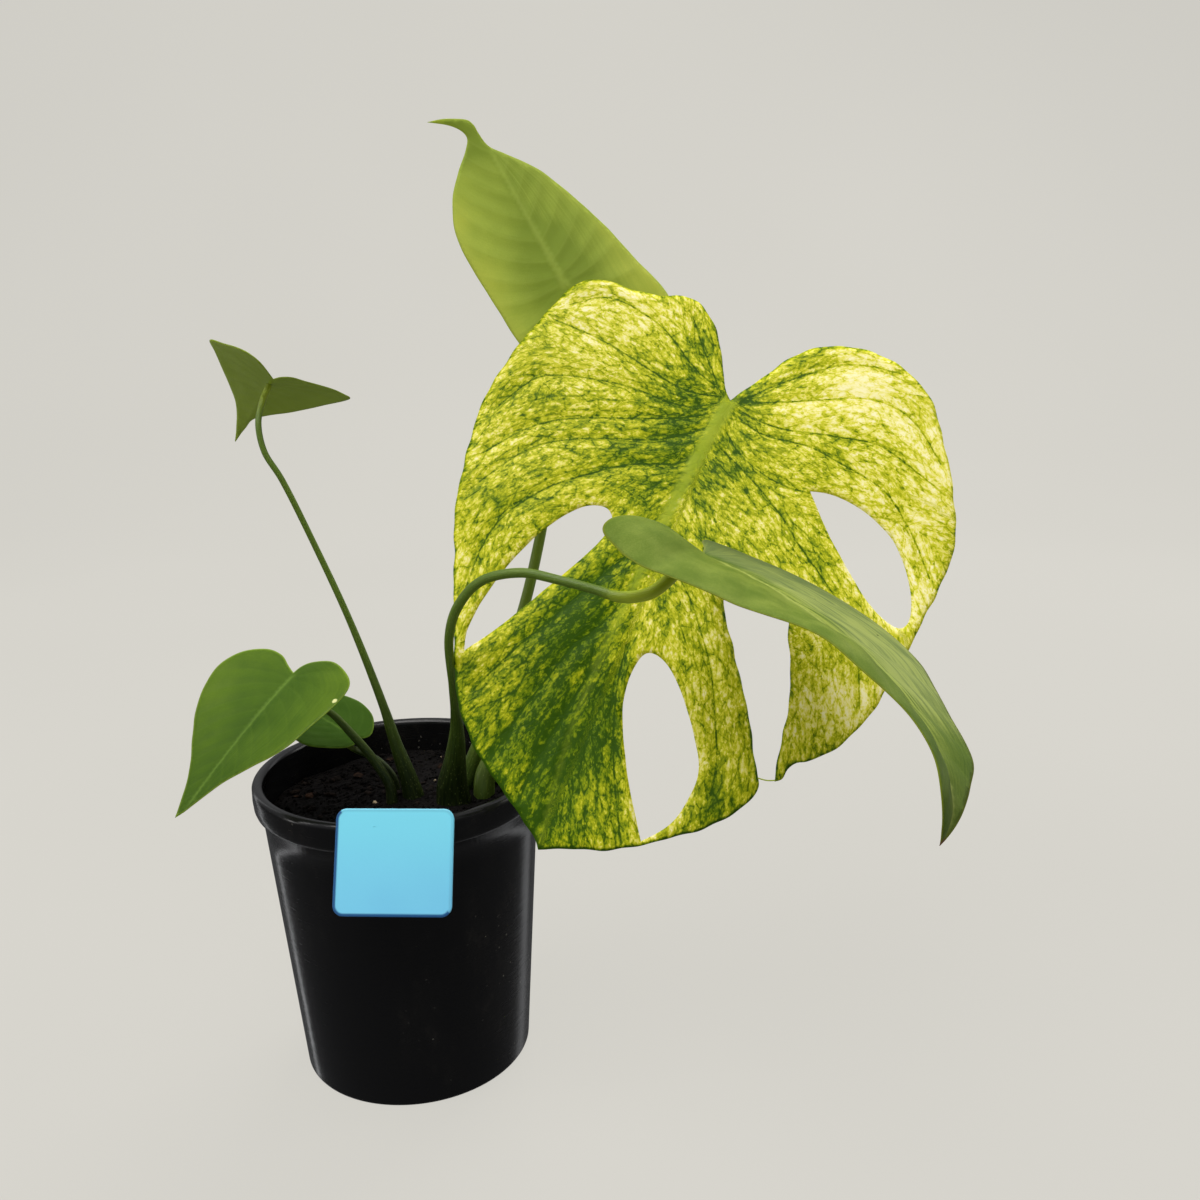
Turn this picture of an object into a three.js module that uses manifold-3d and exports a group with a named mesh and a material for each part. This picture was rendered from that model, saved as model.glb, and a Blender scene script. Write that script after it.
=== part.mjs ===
// A young potted monstera: six leaves on two shoots, in a black nursery pot with a clip-on label.
// Millimetres, +Z up. The origin is the centre of the pot's base, which stands on Z = 0.
// The plant is seen from -Y: +X is to the right and +Y is to the back.

import * as THREE from 'three';
import { mergeVertices } from 'three/addons/utils/BufferGeometryUtils.js';
import Module from 'manifold-3d';

const wasm = await Module();
wasm.setup();

// Driving dimensions of the pot
const rimRadius = 60;
const potHeight = 128;
const baseRadius = 48;
const shoulderRadius = 56.7;
const shoulderHeight = 115.5;
const wall = 1.2;
const floorThickness = 2;
const potSides = 48;
const drainHoles = { count: 8, radius: 4, ring: 37 };

// Driving dimensions of the filling and the fits
const soilLevel = 113;
const fit = 0.3;
const soilFit = 0.5;
const buriedDepth = 11;
const neckLength = 3;
const stalkSides = 8;
const ringsPerStretch = 2.5;
const rootSides = 7;
const rootRings = 8;
const holeSides = 16;
const midribSteps = 24;

// Driving dimensions of the label
const label = {
  width: 44, height: 38.6, thickness: 1, corner: 4, lean: 25, yaw: -4.5, centre: [7.2, -66.6, 116.9],
  tongueWidth: 14, tongueThickness: 0.9, tongueInside: 51.6, tongueDepth: 119,
};

const bladeThickness = 0.8;

// Each leaf has a place, a direction and a form, and its outline drawn flat.
// sinus is the point where the stalk meets the blade. azimuth and elevation aim the midrib at the tip,
// and roll turns the blade about it. droop bends the midrib on its way to the tip, tipDroop adds to that
// over the last third, and backDroop bends the lobes. fold lifts the two halves at the midrib and curl
// goes on bending them out to halfWidth. wave is the height of the ripples at the margin and their length.
// Where a rolled near half opens, it loses a share of its curl and keeps about the same chord.
// Outline points are millimetres along the midrib and across it, in stretches that run from one corner
// of the margin to the next.
const leaves = {
  marbled: {
    sinus: [141, 28, 272], azimuth: 226, elevation: -53, roll: -38, length: 196, halfWidth: 100,
    droop: 2, tipDroop: 0, backDroop: 0, fold: [5, 5], curl: [-8, -8], wave: [1.2, 62], step: [4.6, 9],
    outline: [
      [[0, 0], [-6, 5], [-16, 10], [-26, 17], [-34, 26], [-35, 35], [-31, 44], [-29, 56], [-28, 70],
        [-22, 79], [-4, 85], [22, 91], [44, 92.5], [66, 89], [90, 82.5], [112, 73], [136, 61.5],
        [146, 56.8], [156, 50.5], [170, 38], [182, 20], [190, 6], [196, 0]],
      [[196, 0], [191, -11], [186, -24], [177, -38], [168, -50.5], [159, -59.5], [150, -65.5],
        [142, -67.5]],
      [[142, -67.5], [130, -61], [121, -55.5], [108.5, -47.5], [96, -39], [80, -28.5], [71, -28],
        [65, -36], [66, -47], [71, -53], [79.5, -55.5], [97.5, -63], [111.5, -67.5], [128, -70],
        [138, -73]],
      [[138, -73], [131, -76.5], [120, -87], [108, -94], [88, -99.5], [66, -102], [46, -104.5], [26, -105],
        [8, -99], [-14, -87], [-32, -75], [-40, -58], [-41, -40], [-33, -22], [-15, -9], [0, 0]],
    ],
    holes: [
      [[[135, 55], [124, 48], [108, 40], [92, 32], [78, 26], [68, 24], [63, 29], [67, 38], [80, 47],
        [97, 54], [114, 58], [127, 58.5], [135, 55]]],
      [[[175, -34], [160, -22], [146, -14], [132, -8], [119, -6.5], [111, -9], [111, -16], [118, -25],
        [131, -36], [144, -44], [155, -45], [166, -42], [175, -34]]],
      [[[25, -44], [23, -54], [25, -68], [31, -81], [42, -91], [54, -97], [62, -97.5], [64.5, -93],
        [60, -82], [49, -68], [37, -55], [25, -44]]],
    ],
  },
  top: {
    sinus: [75, 60, 319], azimuth: 185, elevation: 62, roll: 84, length: 84, halfWidth: 36,
    droop: 0, tipDroop: 30, backDroop: 0, fold: [6, 6], curl: [6, 6], wave: [0.4, 40], step: [3.6, 7],
    outline: [
      [[-7, 0], [-15, 3], [-26, 8], [-32, 15], [-31, 23], [-23, 28], [-9, 30.5], [10, 31.3], [28, 32],
        [42, 30.5], [54, 24.5], [62, 16.5], [68, 9], [71.5, 6], [75.5, 7], [80, 11], [84, 17]],
      [[84, 17], [82, 10], [78, 3], [74.5, 1], [71, 0.8], [64.5, -0.2], [58.5, -4.7], [46, -14],
        [30, -21], [13, -27], [-4, -31.5], [-20, -36], [-31, -36], [-37, -29], [-33, -16], [-20, -6],
        [-7, 0]],
    ],
    holes: [],
  },
  front: {
    sinus: [123, -52, 224], azimuth: -40, elevation: -12, roll: -44, length: 142, halfWidth: 52,
    droop: 42, tipDroop: 52, backDroop: -3, fold: [10, 32], curl: [-89, -2], wave: [0, 60], step: [4, 8],
    opening: { from: [-12, 12], to: [40, 80], share: 0.7 },
    outline: [
      [[0, 0], [-4, 7], [-14, 13], [-18, 25], [-20, 36], [-16, 45], [-1, 49.5], [17.5, 47.5], [39, 41],
        [64, 33], [88, 28.5], [107, 21], [120, 17.5], [131, 15], [139, 8], [142, 0]],
      [[142, 0], [132, -4], [122, -10], [112, -18], [97, -22.5], [83, -29], [71, -36], [53, -39.5],
        [32, -39.5], [11, -40], [-1, -41], [-15, -43], [-25, -41], [-23, -33], [-13, -19], [-5, -6],
        [0, 0]],
    ],
    holes: [],
  },
  lowFront: {
    sinus: [-37, -16, 173], azimuth: 234, elevation: -29, roll: -2, length: 68, halfWidth: 32,
    droop: 10, tipDroop: 0, backDroop: 0, fold: [5, 5], curl: [8, -6], wave: [0, 40], step: [3.4, 6.5],
    outline: [
      [[-2, 1], [-4.5, 6], [-8, 13], [-8, 21], [-3, 29], [6, 33.5], [17, 32], [28, 27], [38, 20],
        [47, 13], [57, 7], [69, 2]],
      [[69, 2], [61, -3], [51, -9], [42, -17], [32, -25], [20, -29], [8, -32], [-2, -31], [-8, -23],
        [-11, -13], [-9, -4], [-6, 0], [-2, 1]],
    ],
    holes: [],
  },
  lowBack: {
    sinus: [-17, 2, 139], azimuth: 155, elevation: 25, roll: 0, length: 42, halfWidth: 22,
    droop: 10, tipDroop: 0, backDroop: 0, fold: [4, 4], curl: [0, 0], wave: [0, 40], step: [3.2, 6],
    outline: [
      [[2, 0], [-1, 3], [-1, 8], [3, 15], [9, 20], [18, 22], [28, 19], [36, 11], [42, 0]],
      [[42, 0], [37, -10], [29, -18], [19, -23], [10, -24], [3, -17], [-1, -9], [-1, -3], [2, 0]],
    ],
    holes: [],
  },
  upperLeft: {
    sinus: [-41, 9, 286], azimuth: 115, elevation: -14, roll: 28, length: 60, halfWidth: 28,
    droop: 22, tipDroop: 0, backDroop: 0, fold: [17, 18], curl: [2, 4], wave: [0, 40], step: [3.2, 6],
    outline: [
      [[-6, 0], [-11, 2], [-13, 6], [-9, 12], [-3, 21], [6, 30], [13, 34], [24, 26], [34, 17], [41, 8],
        [47, 2.5], [56, 1.2], [68, 0]],
      [[68, 0], [56, -3], [46, -6], [38, -10], [28, -17], [18, -24], [12, -28], [4, -23], [-5, -18],
        [-11, -13], [-12, -7], [-6, 0]],
    ],
    holes: [],
  },
};

// Each stalk runs from its butt in the soil to the underside of its blade. Every point of the route has
// the half-widths of the stalk there, across and through.
const soilLine = soilLevel + 1;
const stalks = {
  marbled: {
    base: [34, 1], baseSize: [4.4, 4.2], join: 3.5, approach: [[12, 10]],
    route: [
      { at: [35, 3, 122], size: [4.2, 3.8] },
      { at: [44, 8, 137], size: [3.4, 3.2] },
      { at: [61, 14, 159], size: [2.9, 2.9] },
      { at: [81, 20, 181], size: [2.7, 2.7] },
      { at: [98, 26, 201], size: [2.6, 2.6] },
      { at: [115, 34, 224], size: [2.5, 2.5] },
    ],
    endRadius: 2.5,
  },
  top: {
    base: [24, 6], baseSize: [4.6, 3.6], join: -4, approach: [[-16, 6]],
    route: [
      { at: [28, 8, 122], size: [4, 3.2] },
      { at: [34, 9, 137], size: [2.9, 2.7] },
      { at: [42, 11, 160], size: [2.4, 2.4] },
      { at: [53, 14, 189], size: [2.3, 2.3] },
      { at: [60, 18, 214], size: [2.2, 2.2] },
      { at: [68, 28, 250], size: [2, 2] },
      { at: [75, 41, 282], size: [1.9, 1.9] },
    ],
    endRadius: 1.8,
  },
  front: {
    base: [22, -6], baseSize: [7.2, 4.2], join: 4, approach: [[-4, 5]],
    route: [
      { at: [22, -7, 121], size: [6.3, 3.8] },
      { at: [24, -9, 133], size: [4.4, 3.2] },
      { at: [26, -12, 147], size: [2.8, 2.4] },
      { at: [26, -16, 158], size: [1.9, 1.9] },
      { at: [26, -21, 170], size: [1.6, 1.6] },
      { at: [27.5, -29, 191], size: [1.8, 1.8] },
      { at: [32, -34, 204], size: [1.9, 1.9] },
      { at: [42, -40, 215], size: [1.8, 1.8] },
      { at: [57, -46, 219], size: [1.8, 1.8] },
      { at: [71, -51, 217], size: [1.7, 1.7] },
      { at: [84, -55, 214], size: [1.7, 1.7] },
      { at: [92, -58, 212], size: [2, 2] },
      { at: [103, -58, 213], size: [1.9, 1.9] },
    ],
    endRadius: 1.8,
  },
  lowFront: {
    base: [-3.5, -5.5], baseSize: [2.4, 2.2], join: 3, approach: [[6, 6]],
    route: [
      { at: [-4, -5, 121], size: [2.1, 2.1] },
      { at: [-10, -5, 133], size: [1.9, 1.9] },
      { at: [-18, -6, 145], size: [1.7, 1.7] },
      { at: [-26, -9, 156], size: [1.4, 1.4] },
    ],
    endRadius: 1.3,
  },
  lowBack: {
    base: [-3.5, 5.5], baseSize: [2, 2], join: 5, approach: [[3, 5]],
    route: [
      { at: [-4.5, 5, 121], size: [1.7, 1.7] },
      { at: [-10, 4, 129], size: [1.5, 1.5] },
    ],
    endRadius: 1.2,
  },
  upperLeft: {
    base: [4.5, 0], baseSize: [4.4, 3.8], join: 2.5, approach: [[4, 6]],
    route: [
      { at: [3, 0, 122], size: [3.8, 3.4] },
      { at: [-1, 0, 137], size: [2.9, 2.8] },
      { at: [-5, 0, 154], size: [2.1, 2.1] },
      { at: [-16, 0, 191], size: [1.6, 1.6] },
      { at: [-28, 0, 224], size: [1.4, 1.4] },
      { at: [-38, 0, 249], size: [1.3, 1.3] },
      { at: [-44, 1, 260], size: [1.2, 1.2] },
      { at: [-46, 4, 271], size: [1.2, 1.2] },
    ],
    endRadius: 1.2,
  },
};

// The short stems under the soil, with the roots that hold the plant
const stems = {
  main: {
    centre: [27, 1], radius: 14, height: 26, sides: 20,
    roots: [
      { angle: 20, reach: 22, depth: 66, radius: 2.2 },
      { angle: 100, reach: 34, depth: 58, radius: 2 },
      { angle: 215, reach: 30, depth: 72, radius: 2.3 },
      { angle: 300, reach: 30, depth: 50, radius: 1.9 },
    ],
  },
  side: {
    centre: [0, 0], radius: 8.2, height: 18, sides: 16,
    roots: [
      { angle: 110, reach: 30, depth: 66, radius: 1.8 },
      { angle: 185, reach: 36, depth: 56, radius: 1.7 },
      { angle: 250, reach: 34, depth: 74, radius: 1.6 },
    ],
  },
};

const colours = {
  pot: { color: 0x121212, roughness: 0.3, metalness: 0 },
  soil: { color: 0x1c130c, roughness: 0.95, metalness: 0 },
  label: { color: 0x78cfe8, roughness: 0.45, metalness: 0 },
  marbled: { color: 0xc5c64e, roughness: 0.45, metalness: 0 },
  green: { color: 0x5f8440, roughness: 0.42, metalness: 0 },
  light: { color: 0x94ac48, roughness: 0.5, metalness: 0 },
  stalk: { color: 0x4f7a2c, roughness: 0.45, metalness: 0 },
  root: { color: 0xc9b48a, roughness: 0.8, metalness: 0 },
};

const degrees = Math.PI / 180;
const { lerp } = THREE.MathUtils;

// Closed geometry with shared vertices, no needle-thin faces at an axis, and its faces pointing out
function closed(geometry) {
  const bare = geometry.clone();
  bare.deleteAttribute('normal');
  bare.deleteAttribute('uv');
  const merged = mergeVertices(bare.index ? bare : mergeVertices(bare), 1e-4);
  const place = merged.attributes.position;
  const index = merged.index.array;
  const kept = [];
  for (let i = 0; i < index.length; i += 3) {
    const [a, b, c] = [index[i], index[i + 1], index[i + 2]];
    if (a !== b && b !== c && c !== a) kept.push(a, b, c);
  }
  let volume = 0;
  const [p, q, r] = [new THREE.Vector3(), new THREE.Vector3(), new THREE.Vector3()];
  for (let i = 0; i < kept.length; i += 3) {
    p.fromBufferAttribute(place, kept[i]);
    q.fromBufferAttribute(place, kept[i + 1]);
    r.fromBufferAttribute(place, kept[i + 2]);
    volume += p.dot(q.cross(r)) / 6;
  }
  merged.setIndex(volume < 0 ? kept.reverse() : kept);
  return merged;
}

function toManifold(geometry) {
  const solid = closed(geometry);
  return new wasm.Manifold(new wasm.Mesh({
    numProp: 3,
    vertProperties: new Float32Array(solid.attributes.position.array),
    triVerts: new Uint32Array(solid.index.array),
  }));
}

function fromManifold(manifold) {
  const mesh = manifold.getMesh();
  const geometry = new THREE.BufferGeometry();
  geometry.setAttribute('position', new THREE.BufferAttribute(new Float32Array(mesh.vertProperties), 3));
  geometry.setIndex(Array.from(mesh.triVerts));
  return geometry;
}

// A turned body about the Z axis, from a profile of [radius, height]
function turned(profile, sides) {
  const points = profile.map(([radius, height]) => new THREE.Vector2(radius, height));
  return new THREE.LatheGeometry(points, sides).rotateX(Math.PI / 2);
}

// The frame of a leaf at its sinus: along the midrib, across it, and out of the upper face
function leafFrame(leaf) {
  const azimuth = leaf.azimuth * degrees;
  const elevation = leaf.elevation * degrees;
  const roll = leaf.roll * degrees;
  const along = new THREE.Vector3(
    Math.cos(elevation) * Math.cos(azimuth), Math.cos(elevation) * Math.sin(azimuth), Math.sin(elevation));
  const level = new THREE.Vector3(Math.sin(azimuth), -Math.cos(azimuth), 0);
  const upright = new THREE.Vector3().crossVectors(level, along);
  const across = level.clone().multiplyScalar(Math.cos(roll)).addScaledVector(upright, -Math.sin(roll));
  const face = level.clone().multiplyScalar(Math.sin(roll)).addScaledVector(upright, Math.cos(roll));
  return { along, across, face };
}

// How far the midrib has turned down at a distance u from the sinus
function midribTurn(leaf, u) {
  const share = u / leaf.length;
  if (share < 0) return leaf.backDroop * share * degrees;
  const last = Math.max(0, (share - 0.7) / 0.3);
  return (leaf.droop * share + leaf.tipDroop * last * last) * degrees;
}

function midribPoint(leaf, u) {
  const step = u / midribSteps;
  let along = 0;
  let height = 0;
  for (let i = 0; i < midribSteps; i += 1) {
    const turn = midribTurn(leaf, (i + 0.5) * step);
    along += Math.cos(turn) * step;
    height -= Math.sin(turn) * step;
  }
  return { along, height, turn: midribTurn(leaf, u) };
}

// A point of the blade's middle surface, at u along the midrib and v across it
// How far the near half has opened at u: it opens past its lobe and rolls in again towards the tip
function openedShare(leaf, u) {
  if (!leaf.opening) return 0;
  const { from, to, share } = leaf.opening;
  return share * THREE.MathUtils.smoothstep(u, ...from) * (1 - THREE.MathUtils.smoothstep(u, ...to));
}

function bladePoint(leaf, u, v) {
  const { along, across, face } = leafFrame(leaf);
  const rib = midribPoint(leaf, u);
  const side = v > 0 ? 0 : 1;
  const width = Math.abs(v);
  const opened = side ? 0 : openedShare(leaf, u);
  const curl = leaf.curl[side] * (1 - opened);
  const fold = (leaf.fold[side] + (leaf.curl[side] * opened) / 2) * degrees;
  const bend = ((Math.abs(curl) < 0.01 ? 0.01 : curl) * degrees) / leaf.halfWidth;
  const out = (Math.sin(fold + bend * width) - Math.sin(fold)) / bend;
  const [ripple, rippleLength] = leaf.wave;
  const margin = (width / leaf.halfWidth) ** 2;
  const phase = (2 * Math.PI * u) / rippleLength + (side ? 1.4 : 0);
  const lift = (Math.cos(fold) - Math.cos(fold + bend * width)) / bend + ripple * margin * Math.sin(phase);
  return new THREE.Vector3(...leaf.sinus)
    .addScaledVector(along, rib.along + Math.sin(rib.turn) * lift)
    .addScaledVector(across, Math.sign(v) * out)
    .addScaledVector(face, rib.height + Math.cos(rib.turn) * lift);
}

function bladeNormal(leaf, u, v) {
  const step = 0.2;
  const ahead = bladePoint(leaf, u + step, v).sub(bladePoint(leaf, u - step, v));
  const aside = bladePoint(leaf, u, v + step).sub(bladePoint(leaf, u, v - step));
  return aside.cross(ahead).normalize();
}

// A closed loop of points on the flat leaf, spaced evenly along its smooth stretches
function loopPoints(stretches, spacing) {
  const loop = [];
  for (const stretch of stretches) {
    const curve = new THREE.SplineCurve(stretch.map(([u, v]) => new THREE.Vector2(u, v)));
    const count = Math.max(2, Math.round(curve.getLength() / spacing));
    const points = curve.getSpacedPoints(count);
    for (const point of points.slice(0, -1)) loop.push([point.x, point.y]);
  }
  return loop;
}

function insideLoop([x, y], loop) {
  let inside = false;
  for (let i = 0, j = loop.length - 1; i < loop.length; j = i, i += 1) {
    const [xi, yi] = loop[i];
    const [xj, yj] = loop[j];
    if ((yi > y) !== (yj > y) && x < ((xj - xi) * (y - yi)) / (yj - yi) + xi) inside = !inside;
  }
  return inside;
}

// Triangles over a set of flat points in which no triangle's circle holds another point
function delaunay(points) {
  const far = 5000;
  const all = [...points, [-far, -far], [far, -far], [0, far]];
  const count = points.length;
  const circle = (a, b, c) => {
    const [ax, ay] = all[a];
    const [bx, by] = [all[b][0] - ax, all[b][1] - ay];
    const [cx, cy] = [all[c][0] - ax, all[c][1] - ay];
    const area = 2 * (bx * cy - by * cx);
    const x = (cy * (bx * bx + by * by) - by * (cx * cx + cy * cy)) / area;
    const y = (bx * (cx * cx + cy * cy) - cx * (bx * bx + by * by)) / area;
    return { corners: [a, b, c], x: x + ax, y: y + ay, square: x * x + y * y };
  };
  let triangles = [circle(count, count + 1, count + 2)];
  for (let i = 0; i < count; i += 1) {
    const [x, y] = all[i];
    const edges = new Map();
    const kept = [];
    for (const triangle of triangles) {
      if ((x - triangle.x) ** 2 + (y - triangle.y) ** 2 >= triangle.square) {
        kept.push(triangle);
        continue;
      }
      for (let k = 0; k < 3; k += 1) {
        const [a, b] = [triangle.corners[k], triangle.corners[(k + 1) % 3]];
        const key = a < b ? `${a} ${b}` : `${b} ${a}`;
        if (edges.has(key)) edges.delete(key);
        else edges.set(key, [a, b]);
      }
    }
    for (const [a, b] of edges.values()) kept.push(circle(a, b, i));
    triangles = kept;
  }
  return triangles.map((triangle) => triangle.corners).filter((corners) => Math.max(...corners) < count);
}

// The flat leaf as points and triangles: its margins, and a honeycomb of points inside them
function flatLeaf(leaf) {
  const [edgeStep, innerStep] = leaf.step;
  const margin = loopPoints(leaf.outline, edgeStep);
  const holes = leaf.holes.map((hole) => loopPoints(hole, edgeStep));
  const onLeaf = (point) => insideLoop(point, margin) && !holes.some((hole) => insideLoop(point, hole));
  const points = [margin, ...holes].flat();
  const edge = points.slice();
  const rows = innerStep * Math.sqrt(0.75);
  const reach = leaf.length * 1.2;
  let row = 0;
  for (let u = -reach / 2; u < reach; u += rows) {
    row += 1;
    for (let v = -reach + (row % 2) * innerStep * 0.5; v < reach; v += innerStep) {
      const clear = edge.every(([x, y]) => Math.hypot(x - u, y - v) > innerStep * 0.55);
      if (clear && onLeaf([u, v])) points.push([u, v]);
    }
  }
  const triangles = delaunay(points).filter((corners) => {
    const centre = [0, 1].map((k) => corners.reduce((sum, i) => sum + points[i][k], 0) / 3);
    return onLeaf(centre);
  });
  return { points, triangles };
}

// A blade: the flat leaf bent to its form, the same triangles on both faces and a wall round each margin
function blade(leaf) {
  const { points, triangles } = flatLeaf(leaf);
  const count = points.length;
  const place = [];
  for (const side of [1, -1]) {
    for (const [u, v] of points) {
      const normal = bladeNormal(leaf, u, v);
      place.push(...bladePoint(leaf, u, v).addScaledVector(normal, (side * bladeThickness) / 2).toArray());
    }
  }
  const index = [];
  const edges = new Map();
  for (const [first, second, third] of triangles) {
    const [p, q, r] = [points[first], points[second], points[third]];
    const turn = (q[0] - p[0]) * (r[1] - p[1]) - (q[1] - p[1]) * (r[0] - p[0]);
    const [a, b, c] = turn > 0 ? [first, third, second] : [first, second, third];
    index.push(a, b, c, a + count, c + count, b + count);
    for (const [from, to] of [[a, b], [b, c], [c, a]]) {
      if (edges.has(`${to} ${from}`)) edges.delete(`${to} ${from}`);
      else edges.set(`${from} ${to}`, [from, to]);
    }
  }
  for (const [from, to] of edges.values()) {
    index.push(to, from, from + count, to, from + count, to + count);
  }
  const geometry = new THREE.BufferGeometry();
  geometry.setAttribute('position', new THREE.Float32BufferAttribute(place, 3));
  geometry.setIndex(index);
  return closed(geometry);
}

// A tapering stem with flat ends along a smooth curve. sizes are its half-widths at each point
function tube(points, sizes, sides, rings) {
  const curve = new THREE.CatmullRomCurve3(points, false, 'centripetal');
  const place = [];
  const index = [];
  let across = new THREE.Vector3(1, 0, 0);
  for (let ring = 0; ring <= rings; ring += 1) {
    const share = ring / rings;
    const centre = curve.getPoint(share);
    const ahead = curve.getTangent(share);
    across = across.clone().addScaledVector(ahead, -across.dot(ahead)).normalize();
    const through = new THREE.Vector3().crossVectors(ahead, across);
    const slot = share * (sizes.length - 1);
    const low = Math.min(Math.floor(slot), sizes.length - 2);
    const [wide, deep] = [0, 1].map((k) => lerp(sizes[low][k], sizes[low + 1][k], slot - low));
    for (let side = 0; side < sides; side += 1) {
      const angle = (2 * Math.PI * side) / sides;
      const point = centre.clone()
        .addScaledVector(across, wide * Math.cos(angle))
        .addScaledVector(through, deep * Math.sin(angle));
      place.push(...point.toArray());
    }
  }
  for (let ring = 0; ring < rings; ring += 1) {
    for (let side = 0; side < sides; side += 1) {
      const [a, b] = [ring * sides + side, ring * sides + ((side + 1) % sides)];
      index.push(a, b, b + sides, a, b + sides, a + sides);
    }
  }
  const last = rings * sides;
  for (let side = 1; side < sides - 1; side += 1) {
    index.push(0, side + 1, side, last, last + side, last + side + 1);
  }
  const geometry = new THREE.BufferGeometry();
  geometry.setAttribute('position', new THREE.Float32BufferAttribute(place, 3));
  geometry.setIndex(index);
  return closed(geometry);
}

// A stalk: straight down in the soil, along its route, and square on to the underside of its blade
function stalk(leaf, plan) {
  const { along, face } = leafFrame(leaf);
  const seat = bladePoint(leaf, plan.join, 0);
  const normal = bladeNormal(leaf, plan.join, 0);
  const end = seat.clone().addScaledVector(normal, -(bladeThickness / 2 + fit));
  const approach = plan.approach.map(([back, below]) => (
    seat.clone().addScaledVector(along, back - plan.join).addScaledVector(face, -below)));
  const neck = end.clone().addScaledVector(normal, -neckLength);
  const buried = [soilLevel - buriedDepth, soilLevel - buriedDepth / 2, soilLine];
  const points = [
    ...buried.map((height) => new THREE.Vector3(...plan.base, height)),
    ...plan.route.map((stop) => new THREE.Vector3(...stop.at)),
    ...approach,
    neck,
    end,
  ];
  const top = [plan.endRadius, plan.endRadius];
  const sizes = [
    ...buried.map(() => plan.baseSize),
    ...plan.route.map((stop) => stop.size),
    ...approach.map(() => top),
    top,
    top,
  ];
  return tube(points, sizes, stalkSides, Math.round((points.length - 1) * ringsPerStretch));
}

function potGeometry() {
  const inside = (height) => {
    const share = height / shoulderHeight;
    return baseRadius + (shoulderRadius - baseRadius) * share - wall;
  };
  const body = turned([
    [0, 0],
    [baseRadius - 1.6, 0],
    [baseRadius, 1.6],
    [shoulderRadius, shoulderHeight],
    [rimRadius - 1.8, shoulderHeight + 0.6],
    [rimRadius - 0.4, shoulderHeight + 3],
    [rimRadius, shoulderHeight + 6.5],
    [rimRadius - 0.2, potHeight - 2.6],
    [rimRadius - 1.1, potHeight - 0.7],
    [rimRadius - 2.6, potHeight],
    [rimRadius - 4.1, potHeight - 0.9],
    [rimRadius - 4.7, potHeight - 3],
    [inside(shoulderHeight), shoulderHeight],
    [inside(floorThickness + 1.5), floorThickness + 1.5],
    [inside(floorThickness) - 1.5, floorThickness],
    [0, floorThickness],
  ], potSides);
  let solid = toManifold(body);
  for (let i = 0; i < drainHoles.count; i += 1) {
    const angle = (2 * Math.PI * (i + 0.5)) / drainHoles.count;
    const hole = new THREE.CylinderGeometry(drainHoles.radius, drainHoles.radius, 4 * floorThickness, 12)
      .rotateX(Math.PI / 2)
      .translate(drainHoles.ring * Math.cos(angle), drainHoles.ring * Math.sin(angle), floorThickness / 2);
    solid = solid.subtract(toManifold(hole));
  }
  return fromManifold(solid);
}

// A stem with its roots. grow widens it all round, for the space that it takes in the soil
function stemSolid(plan, grow) {
  const [x, y] = plan.centre;
  const top = soilLevel - buriedDepth - fit + grow;
  const low = top - plan.height - 2 * grow;
  const radius = plan.radius + grow;
  const body = turned([
    [0, low],
    [radius * 0.55, low],
    [radius * 0.85, low + plan.height * 0.25],
    [radius, low + plan.height * 0.6],
    [radius, top],
    [0, top],
  ], plan.sides).translate(x, y, 0);
  let solid = toManifold(body);
  for (const root of plan.roots) {
    const [dx, dy] = [Math.cos(root.angle * degrees), Math.sin(root.angle * degrees)];
    const at = (reach, depth) => new THREE.Vector3(x + dx * reach, y + dy * reach, soilLevel - depth);
    const start = buriedDepth + plan.height * 0.55;
    const points = [
      at(plan.radius * 0.3, start),
      at(plan.radius * 0.3 + root.reach * 0.35, start + (root.depth - start) * 0.2),
      at(root.reach * 0.85, start + (root.depth - start) * 0.6),
      at(root.reach + grow * 0.2, root.depth + grow),
    ];
    const thin = root.radius * 0.5 + grow;
    const thick = root.radius + grow;
    const sizes = [thick, thick, thick, thin].map((size) => [size, size]);
    solid = solid.add(toManifold(tube(points, sizes, rootSides, rootRings)));
  }
  return solid;
}

function soilGeometry() {
  const gap = (height) => {
    const share = height / shoulderHeight;
    return baseRadius + (shoulderRadius - baseRadius) * share - wall - fit;
  };
  const low = floorThickness + fit;
  const body = turned([
    [0, low],
    [gap(low) - 2, low],
    [gap(low + 2), low + 2],
    [gap(soilLevel - 1.5), soilLevel - 1.5],
    [40, soilLevel],
    [20, soilLevel + 0.8],
    [0, soilLevel + 1],
  ], potSides);
  let solid = toManifold(body);
  for (const plan of Object.values(stems)) solid = solid.subtract(stemSolid(plan, fit));
  const holeTop = soilLevel + 8;
  const holeFloor = soilLevel - buriedDepth - fit;
  const spare = 1 / Math.cos(Math.PI / holeSides);
  for (const plan of Object.values(stalks)) {
    const [wide, deep] = plan.baseSize.map((size) => (size + soilFit) * spare);
    const hole = new THREE.CylinderGeometry(1, 1, holeTop - holeFloor, holeSides)
      .rotateX(Math.PI / 2)
      .scale(wide, deep, 1)
      .translate(...plan.base, (holeTop + holeFloor) / 2);
    solid = solid.subtract(toManifold(hole));
  }
  return fromManifold(solid);
}

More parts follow.
